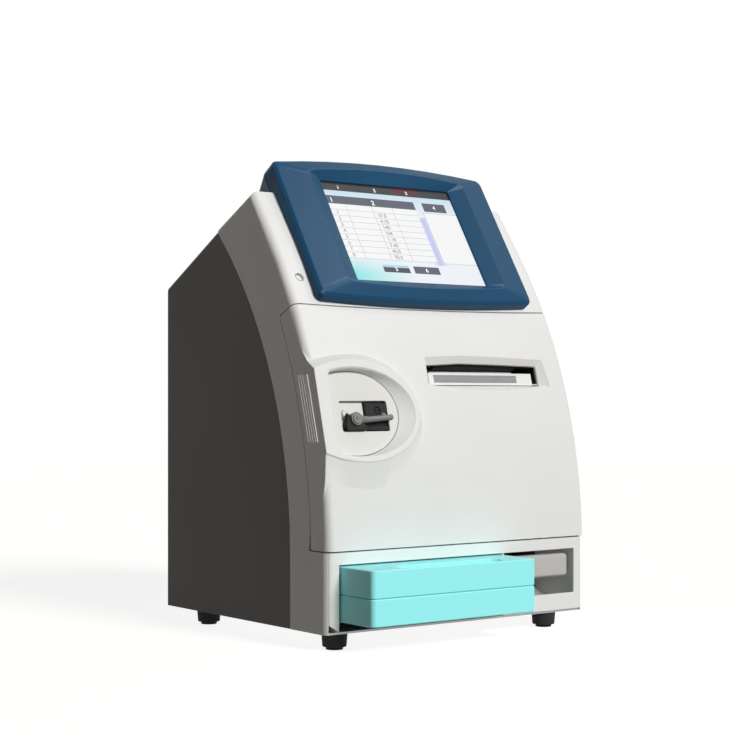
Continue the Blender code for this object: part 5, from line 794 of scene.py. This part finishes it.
class ANALYZER_OT_sampler(AnalyzerPiece, bpy.types.Operator):
    """Port plate, sampler block, carriage, lever, probe and clamp knob"""
    bl_idname = "analyzer.sampler"
    bl_label = "Sampler"

    def execute(self, context):
        pale = plain_finish(context, "pale")
        black = plain_finish(context, "black")
        skin("sampler_faceplate", pale)
        skin("sampler_carriage", pale)
        skin("inlet_adaptor", pale)
        skin("sampler_body", black)
        skin("sample_inlet", black)
        skin("clamp_knob", black)
        skin("sampler_lever", plain_finish(context, "lever"))
        steel = steel_finish(context)
        skin("lever_pivot", plain_finish(context, "lever"))
        skin("sample_probe", steel)
        return {"FINISHED"}


class ANALYZER_OT_printer(AnalyzerPiece, bpy.types.Operator):
    """Printer slot, flap and window, body, platen and paper"""
    bl_idname = "analyzer.printer"
    bl_label = "Printer"

    def execute(self, context):
        white = white_finish(context)
        skin("printer_front", white)
        skin("printer_cover", white)
        smoke = context.scene.analyzer_inside.smoke
        skin("printer_window", clear_finish("smoky_window", smoke, 0.16, 0.25))
        skin("printer_body", plain_finish(context, "black"))
        skin("platen_roller", rubber_finish(context))
        skin("paper_roll", paper_finish("thermal_paper", context.scene.analyzer_inside.paper))
        return {"FINISHED"}


class ANALYZER_OT_bay(AnalyzerPiece, bpy.types.Operator):
    """Reagent pack, its manifold and connector, and the grey latch"""
    bl_idname = "analyzer.bay"
    bl_label = "Reagent bay"

    def execute(self, context):
        teal = plain_finish(context, "teal", 0.4, relief=0.01 * MM, uneven=0.015)
        skin("pack_upper_shell", teal)
        skin("pack_lower_shell", teal)
        skin("pack_manifold", plain_finish(context, "pale"))
        skin("bay_connector", plain_finish(context, "black"))
        skin("pack_latch", plain_finish(context, "latch"))
        skin("latch_pin", steel_finish(context))
        return {"FINISHED"}


class ANALYZER_OT_inside(AnalyzerPiece, bpy.types.Operator):
    """Pump, electrodes, board, power supply and fan"""
    bl_idname = "analyzer.inside"
    bl_label = "Inside"

    def execute(self, context):
        pale = plain_finish(context, "pale")
        black = plain_finish(context, "black")
        steel = steel_finish(context)
        latch = plain_finish(context, "latch")
        skin("pump_housing", pale)
        skin("pump_motor", black)
        skin("pump_rotor", latch)
        clear = clear_finish("clear_tube", (0.75, 0.78, 0.78), 0.12, 0.7)
        skin("pump_tube", clear)
        skin("electrode_block", clear)
        for number in range(1, 5):
            skin(f"electrode_{number}", latch)
        skin("main_board", board_finish("green_board", rgba(context.scene.analyzer_inside.board)))
        skin("power_supply", steel)
        skin("fan_frame", black)
        skin("fan_rotor", black)
        return {"FINISHED"}


class ANALYZER_OT_back(AnalyzerPiece, bpy.types.Operator):
    """Mains inlet, rocker switch and data sockets on the back"""
    bl_idname = "analyzer.back"
    bl_label = "Back fittings"

    def execute(self, context):
        black = plain_finish(context, "black")
        skin("power_inlet", black)
        skin("switch_frame", black)
        skin("power_switch", black)
        steel = steel_finish(context)
        skin("io_ports", steel)
        brass = brushed("brass_pin", BRASS, 0.34, LINES_BACK)
        self.inlet_pins(brass)
        self.sockets(black, brass)
        bright = brushed("screw_steel", SCREW_STEEL, 0.3, LINES_UP)
        sides = (-PANEL_SCREW_SIDE, PANEL_SCREW_SIDE)
        places = [(x, PANEL_BACK, z) for x in sides for z in PANEL_SCREW_LEVELS]
        ends = (PANEL_SCREW_LEVELS[0], PANEL_SCREW_LEVELS[-1])
        places += [(x, PANEL_BACK, z) for x in (-PANEL_SCREW_INNER, PANEL_SCREW_INNER) for z in ends]
        screws("panel_screws", places, bright, SCREW_HEAD)
        orbit = GUARD_ORBIT * math.sqrt(0.5)
        corners = [(i * orbit, k * orbit) for i in (-1, 1) for k in (-1, 1)]
        places = [(FAN_AT[0] + x, FLUSH_BACK, FAN_AT[1] + z) for x, z in corners]
        places += [(INLET_AT[0] + side * INLET_SCREW_RUN, FLUSH_BACK, INLET_AT[1]) for side in (-1, 1)]
        screws("flat_screws", places, bright, FLAT_HEAD)
        return {"FINISHED"}

    def inlet_pins(self, brass):
        """Three flat pins of the mains inlet."""
        near, far = PIN_DEPTHS
        pins = Fitting()
        for run, rise in INLET_PINS:
            x = INLET_AT[0] + run
            z = INLET_AT[1] + rise
            pins.block((x - PIN_HALF_WIDE, near, z - PIN_HALF_HIGH),
                       (x + PIN_HALF_WIDE, far, z + PIN_HALF_HIGH), 0.4)
        pins.finish("inlet_pins", brass, "case", "sheet_steel")

    def sockets(self, black, brass):
        """Tongue and contacts of each data socket."""
        tongues = Fitting()
        contacts = Fitting()
        z = PORTS_AT[1]
        for run, half, rise in SOCKETS:
            x = PORTS_AT[0] + run
            near, far = SOCKET_DEPTHS
            wide = half * 0.78
            tongues.block((x - wide, near, z - rise * 0.3), (x + wide, far, z + rise * 0.22), 0.3)
            count = int(half * 0.9)
            near, far = CONTACT_DEPTHS
            for step in range(count):
                middle = x + half * 0.7 * (2.0 * (step + 0.5) / count - 1.0)
                contacts.block((middle - CONTACT_HALF, near, z + rise * 0.18),
                               (middle + CONTACT_HALF, far, z + rise * 0.28))
        tongues.finish("socket_tongues", black, "case", "black_plastic")
        contacts.finish("socket_contacts", brass, "case", "sheet_steel")


# Stage
CAMERA_AT = (-1.0867, -1.4206, 0.2409)
CAMERA_YAW = math.radians(37.0)
CAMERA_LENS = 81.8
CAMERA_SENSOR = 36.0
CAMERA_SHIFT = 0.0267
AIM_AT = Vector((0.0, 0.0, 0.22))
KEY_FROM = (0.35, -2.6, 1.75)
KEY_SOFTNESS = math.radians(18.0)
SHEEN_FROM = (0.76, -0.62, 1.55)
SHEEN_SIZE = 0.55
FLOOR_COLOUR = (0.29, 0.275, 0.26, 1.0)
FLOOR_GLOW = 0.86
FILL_COLOUR = (1.0, 0.90, 0.80, 1.0)


def backdrop_finish(name, colour, glow):
    """Pale sheet that looks white to the camera and in reflections and keeps the shadow."""
    finish = Finish(name)
    tree = finish.tree
    path = finish.node("ShaderNodeLightPath")
    seen = Value(finish, path.outputs["Is Camera Ray"]) + Value(finish, path.outputs["Is Glossy Ray"])
    seen = (seen + Value(finish, path.outputs["Is Transmission Ray"])).clamped()
    finish.shader.inputs["Base Color"].default_value = colour
    finish.shader.inputs["Roughness"].default_value = 0.9
    finish.shader.inputs["Specular IOR Level"].default_value = 0.0
    light = finish.node("ShaderNodeEmission", None, {"Color": (1, 1, 1, 1), "Strength": seen * glow})
    both = finish.node("ShaderNodeAddShader")
    tree.links.new(finish.shader.outputs[0], both.inputs[0])
    tree.links.new(light.outputs[0], both.inputs[1])
    tree.links.new(both.outputs[0], finish.output.inputs["Surface"])
    return finish.material


class ANALYZER_OT_stage(AnalyzerPiece, bpy.types.Operator):
    """Floor, lamps, surround and camera"""
    bl_idname = "analyzer.stage"
    bl_label = "Stage"

    def execute(self, context):
        settings = context.scene.analyzer_stage
        scene = context.scene
        shape = bmesh.new()
        bmesh.ops.create_grid(shape, x_segments=1, y_segments=1, size=settings.floor / 2.0)
        mesh = bpy.data.meshes.new("floor")
        shape.to_mesh(mesh)
        shape.free()
        mesh.materials.append(backdrop_finish("floor_sheet", FLOOR_COLOUR, FLOOR_GLOW))
        floor = bpy.data.objects.new("floor", mesh)
        scene.collection.objects.link(floor)
        self.lamps(scene, settings)
        self.surround(scene, settings)
        camera = bpy.data.objects.new("camera", bpy.data.cameras.new("camera"))
        camera.data.lens = CAMERA_LENS
        camera.data.sensor_width = CAMERA_SENSOR
        camera.data.shift_y = CAMERA_SHIFT
        camera.location = CAMERA_AT
        camera.rotation_euler = (math.radians(90.0), 0.0, -CAMERA_YAW)
        scene.collection.objects.link(camera)
        scene.camera = camera
        scene.view_settings.view_transform = "Standard"
        return {"FINISHED"}

    def lamps(self, scene, settings):
        """A broad even lamp from the front, and a softbox whose sheen falls on the bezel."""
        key = bpy.data.lights.new("key", "SUN")
        key.energy = settings.key
        key.angle = KEY_SOFTNESS
        self.hang(scene, key, KEY_FROM)
        sheen = bpy.data.lights.new("sheen", "AREA")
        sheen.shape = "DISK"
        sheen.size = SHEEN_SIZE
        sheen.energy = settings.sheen
        self.hang(scene, sheen, SHEEN_FROM).visible_diffuse = False

    def hang(self, scene, data, place):
        """Put a lamp in its place and turn it to the object."""
        lamp = bpy.data.objects.new(data.name, data)
        lamp.location = place
        aim = AIM_AT - Vector(place)
        lamp.rotation_euler = aim.to_track_quat("-Z", "Y").to_euler()
        scene.collection.objects.link(lamp)
        return lamp

    def surround(self, scene, settings):
        """White where it is seen or reflected, and a weak even light elsewhere."""
        world = bpy.data.worlds.new("surround")
        world.use_nodes = True
        tree = world.node_tree
        back = tree.nodes["Background"]
        path = tree.nodes.new("ShaderNodeLightPath")
        first = tree.nodes.new("ShaderNodeMath")
        first.operation = "ADD"
        second = tree.nodes.new("ShaderNodeMath")
        second.operation = "ADD"
        second.use_clamp = True
        tree.links.new(path.outputs["Is Camera Ray"], first.inputs[0])
        tree.links.new(path.outputs["Is Glossy Ray"], first.inputs[1])
        tree.links.new(first.outputs[0], second.inputs[0])
        tree.links.new(path.outputs["Is Transmission Ray"], second.inputs[1])
        spread = tree.nodes.new("ShaderNodeMapRange")
        spread.inputs["To Min"].default_value = settings.fill
        tree.links.new(second.outputs[0], spread.inputs["Value"])
        tree.links.new(spread.outputs[0], back.inputs["Strength"])
        tint = tree.nodes.new("ShaderNodeMix")
        tint.data_type = "RGBA"
        tint.inputs[6].default_value = FILL_COLOUR
        tint.inputs[7].default_value = (1, 1, 1, 1)
        tree.links.new(second.outputs[0], tint.inputs[0])
        tree.links.new(tint.outputs[2], back.inputs["Color"])
        scene.world = world


PIECES = (
    ANALYZER_OT_casing, ANALYZER_OT_door, ANALYZER_OT_display, ANALYZER_OT_sampler,
    ANALYZER_OT_printer, ANALYZER_OT_bay, ANALYZER_OT_inside, ANALYZER_OT_back, ANALYZER_OT_stage,
)


class ANALYZER_PT_panel(bpy.types.Panel):
    """Lists the pieces in the sidebar"""
    bl_idname = "ANALYZER_PT_panel"
    bl_label = "Analyzer"
    bl_space_type = "VIEW_3D"
    bl_region_type = "UI"
    bl_category = "Analyzer"

    def draw(self, context):
        for piece in PIECES:
            self.layout.operator(piece.bl_idname)
        for group in ("analyzer_case", "analyzer_screen", "analyzer_inside", "analyzer_stage"):
            settings = getattr(context.scene, group)
            column = self.layout.column()
            for name in settings.__annotations__:
                column.prop(settings, name)


SETTINGS = {
    "analyzer_case": AnalyzerCaseSettings,
    "analyzer_screen": AnalyzerScreenSettings,
    "analyzer_inside": AnalyzerInsideSettings,
    "analyzer_stage": AnalyzerStageSettings,
}


def register():
    for name, kind in SETTINGS.items():
        bpy.utils.register_class(kind)
        setattr(bpy.types.Scene, name, bpy.props.PointerProperty(type=kind))
    for kind in PIECES + (ANALYZER_PT_panel,):
        bpy.utils.register_class(kind)


def unregister():
    for kind in reversed(PIECES + (ANALYZER_PT_panel,)):
        bpy.utils.unregister_class(kind)
    for name, kind in SETTINGS.items():
        delattr(bpy.types.Scene, name)
        bpy.utils.unregister_class(kind)


def main():
    """Register the add-on and make every piece."""
    register()
    for piece in PIECES:
        group, _, action = piece.bl_idname.partition(".")
        getattr(getattr(bpy.ops, group), action)()


if __name__ == "__main__":
    main()
